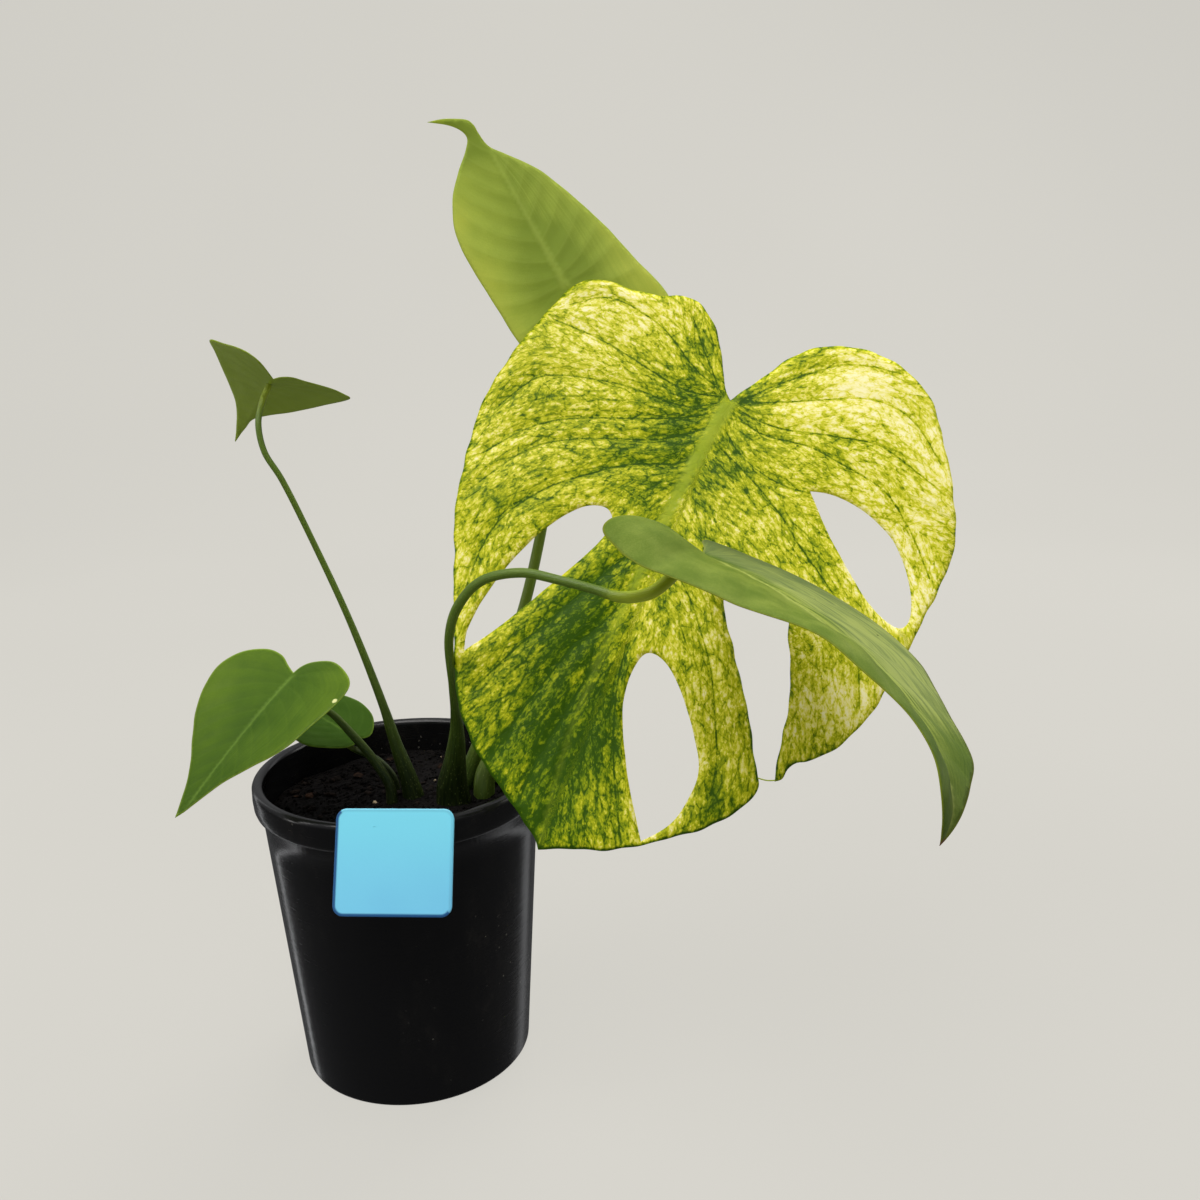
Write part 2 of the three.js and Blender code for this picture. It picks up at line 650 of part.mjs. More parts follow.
// The label: a flat plate that leans out over the wall, on a tongue that hooks over the rim
function labelGeometry() {
  const { width, height, thickness, corner } = label;
  const shape = new THREE.Shape();
  const [x, y] = [width / 2, height / 2];
  shape.moveTo(-x + corner, -y);
  shape.lineTo(x - corner, -y);
  shape.absarc(x - corner, -y + corner, corner, -Math.PI / 2, 0);
  shape.lineTo(x, y - corner);
  shape.absarc(x - corner, y - corner, corner, 0, Math.PI / 2);
  shape.lineTo(-x + corner, y);
  shape.absarc(-x + corner, y - corner, corner, Math.PI / 2, Math.PI);
  shape.lineTo(-x, -y + corner);
  shape.absarc(-x + corner, -y + corner, corner, Math.PI, 1.5 * Math.PI);
  const turn = new THREE.Matrix4().makeRotationZ(label.yaw * degrees);
  const lean = new THREE.Matrix4().makeRotationX(Math.PI / 2 - label.lean * degrees);
  const set = new THREE.Matrix4().makeTranslation(...label.centre).multiply(turn).multiply(lean);
  const extrusion = { depth: thickness, bevelEnabled: false, curveSegments: 5 };
  const plate = new THREE.ExtrudeGeometry(shape, extrusion).applyMatrix4(set);
  const top = potHeight + fit;
  const thick = label.tongueThickness;
  const inner = -label.tongueInside;
  const outer = -rimRadius - 1.2;
  const tongue = new THREE.Shape([
    new THREE.Vector2(inner, label.tongueDepth),
    new THREE.Vector2(inner, top + thick),
    new THREE.Vector2(outer, top + thick),
    new THREE.Vector2(outer, top),
    new THREE.Vector2(inner - thick, top),
    new THREE.Vector2(inner - thick, label.tongueDepth),
  ]);
  const upright = new THREE.Matrix4().makeBasis(
    new THREE.Vector3(0, 1, 0), new THREE.Vector3(0, 0, 1), new THREE.Vector3(1, 0, 0));
  const clip = new THREE.ExtrudeGeometry(tongue, { depth: label.tongueWidth, bevelEnabled: false })
    .translate(0, 0, -label.tongueWidth / 2)
    .applyMatrix4(upright)
    .rotateZ(Math.atan2(label.centre[0], -label.centre[1]));
  return fromManifold(toManifold(plate).add(toManifold(clip)));
}

function piece(name, geometry, look) {
  const mesh = new THREE.Mesh(geometry, new THREE.MeshStandardMaterial(colours[look]));
  mesh.name = name;
  return mesh;
}

const plant = new THREE.Group();
plant.add(piece('pot', potGeometry(), 'pot'));
plant.add(piece('soil', soilGeometry(), 'soil'));
plant.add(piece('label', labelGeometry(), 'label'));
plant.add(piece('stem_main', fromManifold(stemSolid(stems.main, 0)), 'root'));
plant.add(piece('stem_side', fromManifold(stemSolid(stems.side, 0)), 'root'));

const names = {
  marbled: ['blade_marbled', 'stalk_marbled', 'marbled'],
  top: ['blade_top', 'stalk_top', 'light'],
  front: ['blade_front', 'stalk_front', 'green'],
  lowFront: ['blade_low_front', 'stalk_low_front', 'green'],
  lowBack: ['blade_low_back', 'stalk_low_back', 'green'],
  upperLeft: ['blade_upper_left', 'stalk_upper_left', 'green'],
};
for (const [key, [bladeName, stalkName, look]] of Object.entries(names)) {
  plant.add(piece(bladeName, blade(leaves[key]), look));
  plant.add(piece(stalkName, stalk(leaves[key], stalks[key]), 'stalk'));
}

export default plant;
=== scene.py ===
# The looks of a young potted monstera: fine blades, stalks, soil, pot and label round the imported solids.
# The scene is in metres. The tables of leaves and stalks are in millimetres, as in the part's source.

import math

import bpy
import numpy as np
from mathutils import Matrix, Vector
from mathutils.geometry import delaunay_2d_cdt
from mathutils.kdtree import KDTree


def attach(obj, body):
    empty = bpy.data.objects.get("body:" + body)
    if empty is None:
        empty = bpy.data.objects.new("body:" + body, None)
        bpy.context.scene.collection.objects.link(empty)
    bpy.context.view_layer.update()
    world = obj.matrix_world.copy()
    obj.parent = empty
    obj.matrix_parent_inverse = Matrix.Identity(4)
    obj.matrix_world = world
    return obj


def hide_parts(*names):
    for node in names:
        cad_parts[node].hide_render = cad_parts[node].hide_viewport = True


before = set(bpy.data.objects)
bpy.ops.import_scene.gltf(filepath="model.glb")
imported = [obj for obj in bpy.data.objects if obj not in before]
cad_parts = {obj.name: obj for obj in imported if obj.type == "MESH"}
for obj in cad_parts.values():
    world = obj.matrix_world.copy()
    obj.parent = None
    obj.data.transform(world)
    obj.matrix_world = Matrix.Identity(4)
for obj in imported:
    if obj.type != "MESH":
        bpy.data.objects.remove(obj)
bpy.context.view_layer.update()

MM = 0.001

# The pot, the filling and the fits, in millimetres
RIM_RADIUS = 60
POT_HEIGHT = 128
BASE_RADIUS = 48
SHOULDER_RADIUS = 56.7
SHOULDER_HEIGHT = 115.5
WALL = 1.2
FLOOR_THICKNESS = 2
FOOT_ROUND = 1.6
DRAIN_HOLES = {"count": 8, "radius": 4, "ring": 37}
SOIL_LEVEL = 113
FIT = 0.3
BURIED_DEPTH = 11
NECK_LENGTH = 3
CAD_BLADE = 0.8
MARGIN_THICKNESS = 0.2
INNER_THICKNESS = 0.5

# Where the view is taken from, in metres, with its angles in degrees and its lens and film in millimetres
CAMERA = {"place": (0.0852, -0.468, 0.3148), "down": 14.2, "roll": 1.72, "lens": 36, "film": 36}

LABEL = {
    "width": 44, "height": 38.6, "thickness": 1, "corner": 4, "lean": 25, "yaw": -4.5,
    "centre": (7.2, -66.6, 116.9), "tongue_width": 14, "tongue_thickness": 0.9,
    "tongue_inside": 51.6, "tongue_depth": 119,
}

# The leaves, as in the part's source. veins are the main side veins, from the midrib to the margin.
LEAVES = {
    "marbled": {
        "sinus": (141, 28, 272), "azimuth": 226, "elevation": -53, "roll": -38, "length": 196,
        "half_width": 100, "droop": 2, "tip_droop": 0, "back_droop": 0, "fold": (5, 5),
        "curl": (-8, -8), "wave": (1.2, 62),
        "outline": [
            [(0, 0), (-6, 5), (-16, 10), (-26, 17), (-34, 26), (-35, 35), (-31, 44), (-29, 56),
             (-28, 70), (-22, 79), (-4, 85), (22, 91), (44, 92.5), (66, 89), (90, 82.5), (112, 73),
             (136, 61.7), (146, 57.3), (156, 51.1), (170, 38.2), (182, 20), (190, 6), (196, 0)],
            [(196, 0), (191, -11), (186, -24), (177, -38), (168, -50.5), (160, -58.5), (152, -64.3),
             (146, -67), (141.5, -67.4), (137.5, -65), (130, -61), (121, -55.5), (108.5, -47.5),
             (96, -39), (80, -28.5), (71, -28), (65, -36), (66, -47), (71, -53), (79.5, -55.5),
             (88.5, -59.5), (97.5, -63), (111.5, -67.5), (120, -68.8), (128, -70), (138, -72.3)],
            [(138, -72.3), (136, -74.6), (132, -75.4), (128.5, -77.6), (126, -81), (120, -87),
             (110, -93), (100, -97), (88, -99.5), (66, -102), (46, -104.5),
             (26, -105), (8, -99), (-14, -87), (-32, -75), (-40, -58), (-41, -40), (-33, -22),
             (-15, -9), (0, 0)],
        ],
        "holes": [
            [[(138, 56.5), (124, 48), (108, 40), (92, 32), (78, 26), (68, 24), (63, 29), (67, 38),
              (80, 47), (97, 54), (114, 58), (129, 58.8), (138, 56.5)]],
            [[(178, -34.5), (160, -22), (146, -14), (132, -8), (119, -6.5), (111, -9), (111, -16),
              (118, -25), (131, -36), (144, -44), (155, -45), (168, -42), (178, -34.5)]],
            [[(25, -44), (23, -54), (25, -68), (31, -81), (42, -91), (54, -97), (62, -97.5),
              (64.5, -93), (60, -82), (49, -68), (37, -55), (25, -44)]],
        ],
        "ripple": 0.3,
        "rib_line": [(-40, 0), (0, 0), (27, 3), (53, 5), (82, 6), (113, 7), (145, 7), (170, 4), (196, 0)],
        "veins": [
            [(0, 3), (-10, 13), (-18, 20), (-28, 28)],
            [(-2, 3), (-6, 18), (-13, 28), (-19, 39), (-23, 59), (-21, 67), (-13, 77)],
            [(0, 4), (4, 17), (2, 32), (-3, 58), (-4, 80)],
            [(3, 4), (11, 17), (12, 43), (20, 73), (28, 80), (42, 87)],
            [(8, 4), (16, 16), (24, 34), (35, 59), (45, 72), (62, 84)],
            [(16, 5), (28, 20), (35, 38), (43, 55), (53, 68), (78, 82)],
            [(27, 3), (34, 8), (42, 27), (50, 37), (65, 54), (89, 67), (120, 66)],
            [(60, 5), (81, 15), (97, 23), (114, 31), (130, 39), (150, 47)],
            [(90, 6), (108, 12), (121, 19), (136, 23), (152, 27), (172, 30)],
            [(115, 7), (129, 9), (143, 11), (159, 13), (173, 14), (186, 14)],
            [(-1, -4), (-13, -15), (-22, -25), (-30, -34), (-35, -45), (-37, -60)],
            [(0, -4), (-9, -25), (-16, -39), (-22, -53), (-22, -65), (-18, -75), (-6, -88)],
            [(3, -5), (5, -22), (1, -37), (-2, -52), (-4, -64), (6, -94)],
            [(6, -6), (10, -18), (7, -36), (9, -48), (13, -71), (19, -79), (26, -88), (40, -100)],
            [(14, -4), (21, -12), (27, -30), (26, -42)],
            [(22, -6), (30, -22), (39, -37), (48, -48), (62, -68), (76, -82), (98, -92)],
            [(68, 1), (77, -8), (87, -19), (98, -27), (104, -32.5), (114.5, -38), (125, -43), (139, -49.5),
             (152, -52)],
            [(96, 4), (110, 0), (130, -4), (156, -14), (182, -28)],
        ],
    },
    "top": {
        "sinus": (75, 60, 319), "azimuth": 185, "elevation": 62, "roll": 84, "length": 84,
        "half_width": 36, "droop": 0, "tip_droop": 30, "back_droop": 0, "fold": (6, 6),
        "curl": (6, 6), "wave": (0.4, 40),
        "outline": [
            [(-7, 0), (-15, 3), (-26, 8), (-32, 15), (-31, 23), (-23, 28), (-9, 30.5), (10, 31.3),
             (28, 32), (42, 30.5), (54, 24.5), (62, 16.5), (68, 9), (71.5, 6), (75.5, 7), (80, 11),
             (84, 17)],
            [(84, 17), (82, 10), (78, 3), (74.5, 1), (71, 0.8), (64.5, -0.2), (58.5, -4.7), (46, -14),
             (30, -21), (13, -27), (-4, -31.5), (-20, -36), (-31, -36), (-37, -29), (-33, -16),
             (-20, -6), (-7, 0)],
        ],
        "holes": [],
    },
    "front": {
        "sinus": (123, -52, 224), "azimuth": -40, "elevation": -12, "roll": -44, "length": 142,
        "half_width": 52, "droop": 42, "tip_droop": 52, "back_droop": -3, "fold": (10, 32),
        "curl": (-89, -2), "wave": (0, 60), "opening": ((-12, 12), (40, 80), 0.7),
        "outline": [
            [(0, 0), (-4, 7), (-14, 13), (-18, 25), (-20, 36), (-16, 45), (-1, 49.5), (17.5, 47.5),
             (39, 41), (64, 33), (88, 28.5), (107, 21), (120, 17.5), (131, 15), (139, 8), (142, 0)],
            [(142, 0), (132, -4), (122, -10), (112, -18), (97, -22.5), (83, -29), (71, -36),
             (53, -39.5), (32, -39.5), (11, -40), (-1, -41), (-15, -43), (-25, -41), (-23, -33),
             (-13, -19), (-5, -6), (0, 0)],
        ],
        "holes": [],
    },
    "low_front": {
        "sinus": (-37, -16, 173), "azimuth": 234, "elevation": -29, "roll": -2, "length": 68,
        "half_width": 32, "droop": 10, "tip_droop": 0, "back_droop": 0, "fold": (5, 5),
        "curl": (8, -6), "wave": (0, 40),
        "outline": [
            [(-2, 1), (-4.5, 6), (-8, 13), (-8, 21), (-3, 29), (6, 33.5), (17, 32), (28, 27),
             (38, 20), (47, 13), (57, 7), (69, 2)],
            [(69, 2), (61, -3), (51, -9), (42, -17), (32, -25), (20, -29), (8, -32), (-2, -31),
             (-8, -23), (-11, -13), (-9, -4), (-6, 0), (-2, 1)],
        ],
        "holes": [],
    },
    "low_back": {
        "sinus": (-17, 2, 139), "azimuth": 155, "elevation": 25, "roll": 0, "length": 42,
        "half_width": 22, "droop": 10, "tip_droop": 0, "back_droop": 0, "fold": (4, 4),
        "curl": (0, 0), "wave": (0, 40),
        "outline": [
            [(2, 0), (-1, 3), (-1, 8), (3, 15), (9, 20), (18, 22), (28, 19), (36, 11), (42, 0)],
            [(42, 0), (37, -10), (29, -18), (19, -23), (10, -24), (3, -17), (-1, -9), (-1, -3),
             (2, 0)],
        ],
        "holes": [],
    },
    "upper_left": {
        "sinus": (-41, 9, 286), "azimuth": 115, "elevation": -14, "roll": 28, "length": 60,
        "half_width": 28, "droop": 22, "tip_droop": 0, "back_droop": 0, "fold": (17, 18),
        "curl": (2, 4), "wave": (0, 40),
        "outline": [
            [(-6, 0), (-11, 2), (-13, 6), (-9, 12), (-3, 21), (6, 30), (13, 34), (24, 26), (34, 17),
             (41, 8), (47, 2.5), (56, 1.2), (68, 0)],
            [(68, 0), (56, -3), (46, -6), (38, -10), (28, -17), (18, -24), (12, -28), (4, -23),
             (-5, -18), (-11, -13), (-12, -7), (-6, 0)],
        ],
        "holes": [],
    },
}

# The stalks, as in the part's source. Each stop of a route is its place and its half-widths, or one
# half-width where both are the same.
STALKS = {
    "marbled": {
        "base": (34, 1), "base_size": (4.4, 4.2), "join": 3.5, "approach": [(12, 10)],
        "route": [
            (35, 3, 122, 4.2, 3.8), (44, 8, 137, 3.4, 3.2), (61, 14, 159, 2.9), (81, 20, 181, 2.7),
            (98, 26, 201, 2.6), (115, 34, 224, 2.5),
        ],
        "end_radius": 2.5,
    },
    "top": {
        "base": (24, 6), "base_size": (4.6, 3.6), "join": -4, "approach": [(-16, 6)],
        "route": [
            (28, 8, 122, 4, 3.2), (34, 9, 137, 2.9, 2.7), (42, 11, 160, 2.4), (53, 14, 189, 2.3),
            (60, 18, 214, 2.2), (68, 28, 250, 2), (75, 41, 282, 1.9),
        ],
        "end_radius": 1.8,
    },
    "front": {
        "base": (22, -6), "base_size": (7.2, 4.2), "join": 4, "approach": [(-4, 5)],
        "route": [
            (22, -7, 121, 6.3, 3.8), (24, -9, 133, 4.4, 3.2), (26, -12, 147, 2.8, 2.4),
            (26.4, -16, 158, 1.9), (26.6, -21, 170, 1.6), (27.5, -29, 191, 1.8), (32, -34, 204, 1.9),
            (42, -40, 215, 1.8), (57, -46, 219, 1.8), (71, -51, 217, 1.7), (84, -55, 214, 1.7),
            (92, -58, 212, 2), (103, -58, 213, 1.9),
        ],
        "end_radius": 1.8,
    },
    "low_front": {
        "base": (-3.5, -5.5), "base_size": (2.4, 2.2), "join": 3, "approach": [(6, 6)],
        "route": [
            (-4, -5, 121, 2.1), (-10, -5, 133, 1.9), (-18, -6, 145, 1.7), (-26, -9, 156, 1.4),
        ],
        "end_radius": 1.3,
    },
    "low_back": {
        "base": (-3.5, 5.5), "base_size": (2, 2), "join": 5, "approach": [(3, 5)],
        "route": [(-4.5, 5, 121, 1.7), (-10, 4, 129, 1.5)],
        "end_radius": 1.2,
    },
    "upper_left": {
        "base": (4.5, 0), "base_size": (4.4, 3.8), "join": 2.5, "approach": [(4, 6)],
        "route": [
            (3, 0, 122, 3.7, 3.4), (-1, 0, 137, 2.6), (-5, 0, 154, 1.8), (-16, 0, 191, 1.35),
            (-28, 0, 224, 1.2), (-38, 0, 249, 1.2), (-44, 1, 260, 1.2), (-46, 4, 271, 1.2),
        ],
        "end_radius": 1.2,
    },
}


def srgb(red, green, blue):
    """A colour of 0 to 255 a channel as Blender's linear one"""
    linear = []
    for value in (red, green, blue):
        share = value / 255
        linear.append(share / 12.92 if share <= 0.04045 else ((share + 0.055) / 1.055) ** 2.4)
    return (*linear, 1.0)


def unit(vectors):
    return vectors / np.linalg.norm(vectors, axis=-1, keepdims=True)


def smoothstep(low, high, values):
    share = np.clip((values - low) / (high - low), 0, 1)
    return share * share * (3 - 2 * share)


def arc(centre, reach, start, end, count):
    """Points on an ellipse about the centre, from one angle in degrees to another"""
    turns = np.radians(np.linspace(start, end, count))
    return [(centre[0] + reach[0] * math.cos(turn), centre[1] + reach[1] * math.sin(turn)) for turn in turns]


def circle(radius, sides):
    turns = [2 * math.pi * side / sides for side in range(sides)]
    return [(radius * math.cos(turn), radius * math.sin(turn)) for turn in turns]


def wall_radius(height):
    """The radius of the pot's outside at a height"""
    return BASE_RADIUS + (SHOULDER_RADIUS - BASE_RADIUS) * height / SHOULDER_HEIGHT


# Leaf forms

def leaf_frame(leaf):
    """Directions along the midrib, across it and out of the upper face, at the sinus"""
    azimuth, elevation, roll = (math.radians(leaf[key]) for key in ("azimuth", "elevation", "roll"))
    along = np.array([math.cos(elevation) * math.cos(azimuth),
                      math.cos(elevation) * math.sin(azimuth), math.sin(elevation)])
    level = np.array([math.sin(azimuth), -math.cos(azimuth), 0.0])
    upright = np.cross(level, along)
    across = level * math.cos(roll) - upright * math.sin(roll)
    face = level * math.sin(roll) + upright * math.cos(roll)
    return along, across, face


def midrib_turn(leaf, u):
    share = u / leaf["length"]
    last = np.maximum(0, (share - 0.7) / 0.3)
    ahead = leaf["droop"] * share + leaf["tip_droop"] * last * last
    return np.radians(np.where(share < 0, leaf["back_droop"] * share, ahead))


def blade_points(leaf, u, v):
    """Points of the blade's middle surface, in millimetres, at u along the midrib and v across it"""
    along, across, face = leaf_frame(leaf)
    steps = 24
    run = np.zeros_like(u)
    rise = np.zeros_like(u)
    for i in range(steps):
        turn = midrib_turn(leaf, u * (i + 0.5) / steps)
        run += np.cos(turn) * u / steps
        rise -= np.sin(turn) * u / steps
    turn = midrib_turn(leaf, u)
    far = v <= 0
    width = np.abs(v)
    rising, falling, share = leaf.get("opening", ((0, 1), (0, 1), 0))
    opened = np.where(far, 0, share * smoothstep(*rising, u) * (1 - smoothstep(*falling, u)))
    curl = [value if abs(value) > 0.01 else 0.01 for value in leaf["curl"]]
    fold = np.radians(np.where(far, leaf["fold"][1], leaf["fold"][0] + curl[0] * opened / 2))
    bend = np.radians(np.where(far, curl[1], curl[0] * (1 - opened))) / leaf["half_width"]
    out = (np.sin(fold + bend * width) - np.sin(fold)) / bend
    ripple, ripple_length = leaf["wave"]
    phase = 2 * math.pi * u / ripple_length + np.where(far, 1.4, 0)
    lift = (np.cos(fold) - np.cos(fold + bend * width)) / bend
    lift = lift + ripple * (width / leaf["half_width"]) ** 2 * np.sin(phase)
    return (np.array(leaf["sinus"], float)
            + np.multiply.outer(run + np.sin(turn) * lift, along)
            + np.multiply.outer(np.sign(v) * out, across)
            + np.multiply.outer(rise + np.cos(turn) * lift, face))


def rib_at(leaf, u):
    return np.interp(u, *np.transpose(leaf.get("rib_line", [(0, 0)])))


def blade_normals(leaf, u, v):
    step = 0.2
    ahead = blade_points(leaf, u + step, v) - blade_points(leaf, u - step, v)
    aside = blade_points(leaf, u, v + step) - blade_points(leaf, u, v - step)
    return unit(np.cross(aside, ahead))


def spline(points, spacing):
    """Evenly spaced points on a smooth curve through the given ones, ends included"""
    points = np.array(points, float)
    last = len(points) - 1
    curve = []
    for i in range(last):
        before, start, end, after = points[max(i - 1, 0)], points[i], points[i + 1], points[min(i + 2, last)]
        leave, arrive = (end - before) / 2, (after - start) / 2
        for share in np.linspace(0, 1, 24, endpoint=False):
            curve.append((2 * start - 2 * end + leave + arrive) * share ** 3
                         + (-3 * start + 3 * end - 2 * leave - arrive) * share ** 2
                         + leave * share + start)
    curve = np.array([*curve, points[-1]])
    length = np.concatenate([[0], np.cumsum(np.linalg.norm(np.diff(curve, axis=0), axis=1))])
    stops = np.linspace(0, length[-1], max(2, round(length[-1] / spacing)) + 1)
    return np.stack([np.interp(stops, length, curve[:, k]) for k in range(curve.shape[1])], -1)


def loop_of(stretches, spacing, ripple=0.0):
    """A closed loop through the stretches, with small irregular waves of the given height"""
    loop = np.concatenate([spline(stretch, spacing)[:-1] for stretch in stretches])
    ahead = np.roll(loop, -1, axis=0) - np.roll(loop, 1, axis=0)
    out = unit(np.stack([ahead[:, 1], -ahead[:, 0]], -1))
    way = np.arange(len(loop)) * spacing
    wave = (0.5 * np.sin(way / 1.9) + 0.8 * np.sin(way / 3.3 + 1.3) * np.sin(way / 17)
            + 0.6 * np.sin(way / 7.1 + 0.4))
    return loop + out * (ripple * wave)[:, None]


def inside(points, loop):
    """Which of the points lie inside the closed loop"""
    result = np.zeros(len(points), bool)
    for (x1, y1), (x2, y2) in zip(loop, np.roll(loop, -1, axis=0)):
        if y1 == y2:
            continue
        crosses = (y1 > points[:, 1]) != (y2 > points[:, 1])
        result ^= crosses & (points[:, 0] < (x2 - x1) * (points[:, 1] - y1) / (y2 - y1) + x1)
    return result


def nearest_on(points, line):
    """Of each point, the gap to a line, the line's side that it is on, and how far along the line it is"""
    start, step = line[:-1], np.diff(line, axis=0)
    length = np.linalg.norm(step, axis=1)
    before = np.concatenate([[0], np.cumsum(length)])[:-1]
    best = np.full(len(points), 1e9)
    reach = np.zeros(len(points))
    side = np.ones(len(points))
    for (x, y), (dx, dy), size, gone in zip(start, step, length, before):
        off_x, off_y = points[:, 0] - x, points[:, 1] - y
        share = np.clip((off_x * dx + off_y * dy) / size ** 2, 0, 1)
        gap = np.hypot(off_x - share * dx, off_y - share * dy)
        closer = gap < best
        best[closer] = gap[closer]
        reach[closer] = (gone + share * size)[closer]
        side[closer] = np.where(dx * off_y - dy * off_x < 0, -1, 1)[closer]
    return best, side, reach


# How finely the blades are drawn, in millimetres or as a share of the spacing, and how often the
# given veins are smoothed
CUT_RIPPLE = 0.08
LINE_SPACING = 0.7
CLEARANCE = 0.6
VEIN_STEP = 1.1
VEIN_ROUNDS = 40

# Where side veins leave the midrib, as shares of a leaf's length, and their angles from it in degrees
VEIN_STARTS = [(0, 152), (0.01, 122), (0.03, 96), (0.07, 80), (0.15, 69), (0.26, 61), (0.38, 55),
               (0.5, 50), (0.62, 45), (0.74, 40), (0.85, 35)]
VEIN_BEND = 38


def side_veins(leaf, margin):
    """The main side veins of each half, in order from the lobe to the tip"""
    halves = {1: [], -1: []}
    if "veins" in leaf:
        for line in leaf["veins"]:
            line = spline(line, VEIN_STEP)
            for _ in range(VEIN_ROUNDS):
                line[1:-1] = (line[:-2] + 2 * line[1:-1] + line[2:]) / 4
            halves[1 if line[-1][1] > 0 else -1].append(line)
        return halves
    for side in (1, -1):
        for share, angle in VEIN_STARTS:
            place = np.array([share * leaf["length"], 0.3 * side])
            line = [place.copy()]
            heading = angle
            while len(line) < 6 or (len(line) < 200 and inside(place[None] + 1e-6, margin)[0]):
                turn = math.radians(heading)
                place = place + VEIN_STEP * np.array([math.cos(turn), side * math.sin(turn)])
                heading -= VEIN_BEND * VEIN_STEP / leaf["half_width"]
                line.append(place.copy())
            halves[side].append(np.array(line))
    return halves


def gaps_to(points, others):
    """Of each flat point, the gap to the nearest of the others"""
    tree = KDTree(len(others))
    for i, (x, y) in enumerate(others):
        tree.insert((x, y, 0), i)
    tree.balance()
    return np.array([tree.find((x, y, 0))[2] for x, y in points])


def flat_leaf(leaf, edge_step, inner_step):
    """The leaf drawn flat: its points and triangles, and what the materials read at each point"""
    margin = loop_of(leaf["outline"], edge_step, leaf.get("ripple", CUT_RIPPLE))
    holes = [loop_of(hole, edge_step, CUT_RIPPLE) for hole in leaf["holes"]]
    halves = side_veins(leaf, margin)
    fixed = np.concatenate([margin, *holes])
    edges = []
    for loop in [margin, *holes]:
        first, count = len(edges), len(loop)
        edges += [(first + i, first + (i + 1) % count) for i in range(count)]

    def on_leaf(points):
        result = inside(points, margin)
        for hole in holes:
            result &= ~inside(points, hole)
        return result

    rib = np.arange(-2, leaf["length"] - 2, inner_step * CLEARANCE)
    lines = np.concatenate([np.stack([rib, rib_at(leaf, rib)], -1), *halves[1], *halves[-1]])
    lines = lines[on_leaf(lines)]
    lines = lines[gaps_to(lines, fixed) > edge_step * CLEARANCE]
    _, kept = np.unique(np.floor(lines / LINE_SPACING).astype(int), axis=0, return_index=True)
    lines = lines[np.sort(kept)]
    low, high = margin.min(0), margin.max(0)
    rows = []
    for row, u in enumerate(np.arange(low[0], high[0], inner_step * math.sqrt(0.75))):
        v = np.arange(low[1] + (row % 2) * inner_step / 2, high[1], inner_step)
        rows.append(np.stack([np.full_like(v, u), v], -1))
    lattice = np.concatenate(rows)
    lattice = lattice[on_leaf(lattice)]
    lattice = lattice[gaps_to(lattice, np.concatenate([fixed, lines])) > inner_step * CLEARANCE]
    points = np.concatenate([fixed, lines, lattice])
    found = delaunay_2d_cdt([Vector(point) for point in points], edges, [], 0, 1e-5, False)
    places = np.array([list(place) for place in found[0]])
    triangles = np.array([list(face) for face in found[2]])
    triangles = triangles[on_leaf(places[triangles].mean(1))]
    used = np.unique(triangles)
    renumber = np.zeros(len(places), int)
    renumber[used] = np.arange(len(used))
    places, triangles = places[used], renumber[triangles]

    edge, *others = (nearest_on(places, np.concatenate([loop, loop[:1]]))[0] for loop in [margin, *holes])
    hole = np.min([np.full(len(places), 99.0), *others], axis=0)
    vein, fields = vein_lanes(places, halves)
    return {"places": places, "triangles": triangles, "edge": edge, "hole": hole, "vein": vein,
            "fields": fields}


def vein_lanes(places, halves):
    """The gap to the nearest side vein, and two sets of coordinates that follow the veins.

    Each set counts from every other vein: the way along it, the way off it and the vein's number.
    The blend goes from one set to the other, so that neither is used where it jumps.
    """
    total = len(places)
    fields = {name: np.zeros(total) for name in ("s0", "n0", "k0", "s1", "n1", "k1", "blend")}
    vein = np.full(total, 99.0)
    for side in (1, -1):
        mine = (places[:, 1] > 0) == (side > 0)
        points = places[mine]
        vein[mine] = np.min([nearest_on(points, line)[0] for line in halves[side]], axis=0)
        gaps = []
        for parity in (0, 1):
            found = []
            for number, line in list(enumerate(halves[side]))[parity::2]:
                ahead, back = unit(line[-1] - line[-4]), unit(line[0] - line[3])
                longer = np.concatenate([[line[0] + back * 30], line, [line[-1] + ahead * 90]])
                found.append([*nearest_on(points, longer), np.full(len(points), number)])
            found = np.array(found)
            nearest = np.argmin(found[:, 0], axis=0)
            gap, turn, reach, number = found[nearest, :, np.arange(len(points))].T
            gaps.append(gap)
            for name, field in (("n", gap * turn), ("s", reach), ("k", number * 7 + side * 3)):
                fields[name + str(parity)][mine] = field
        fields["blend"][mine] = smoothstep(0.2, 0.8, gaps[0] / np.maximum(gaps[0] + gaps[1], 1e-6))
    return vein, fields


# Finished meshes

def tube_faces(rings, sides):
    """The faces of a tube whose rings of places follow one another, and last those of its two ends"""
    faces = []
    for first in range(0, (rings - 1) * sides, sides):
        for side in range(sides):
            a, b = first + side, first + (side + 1) % sides
            faces.append((a, b, b + sides, a + sides))
    return [*faces, tuple(reversed(range(sides))), tuple(range((rings - 1) * sides, rings * sides))]


def mesh_piece(name, places, faces, smooth=True, flat_faces=()):
    """An object from places in millimetres"""
    mesh = bpy.data.meshes.new(name)
    mesh.from_pydata((np.asarray(places, float) * MM).tolist(), [], [list(face) for face in faces])
    shading = np.full(len(mesh.polygons), smooth)
    if len(flat_faces):
        shading[list(flat_faces)] = False
    mesh.polygons.foreach_set("use_smooth", shading)
    mesh.update()
    piece = bpy.data.objects.new(name, mesh)
    bpy.context.scene.collection.objects.link(piece)
    return piece


def paint(piece, **values):
    """Puts a number at each of the mesh's points, under each name, for the materials to read"""
    for name, numbers in values.items():
        attribute = piece.data.attributes.new(name, "FLOAT", "POINT")
        attribute.data.foreach_set("value", np.asarray(numbers, np.float32))


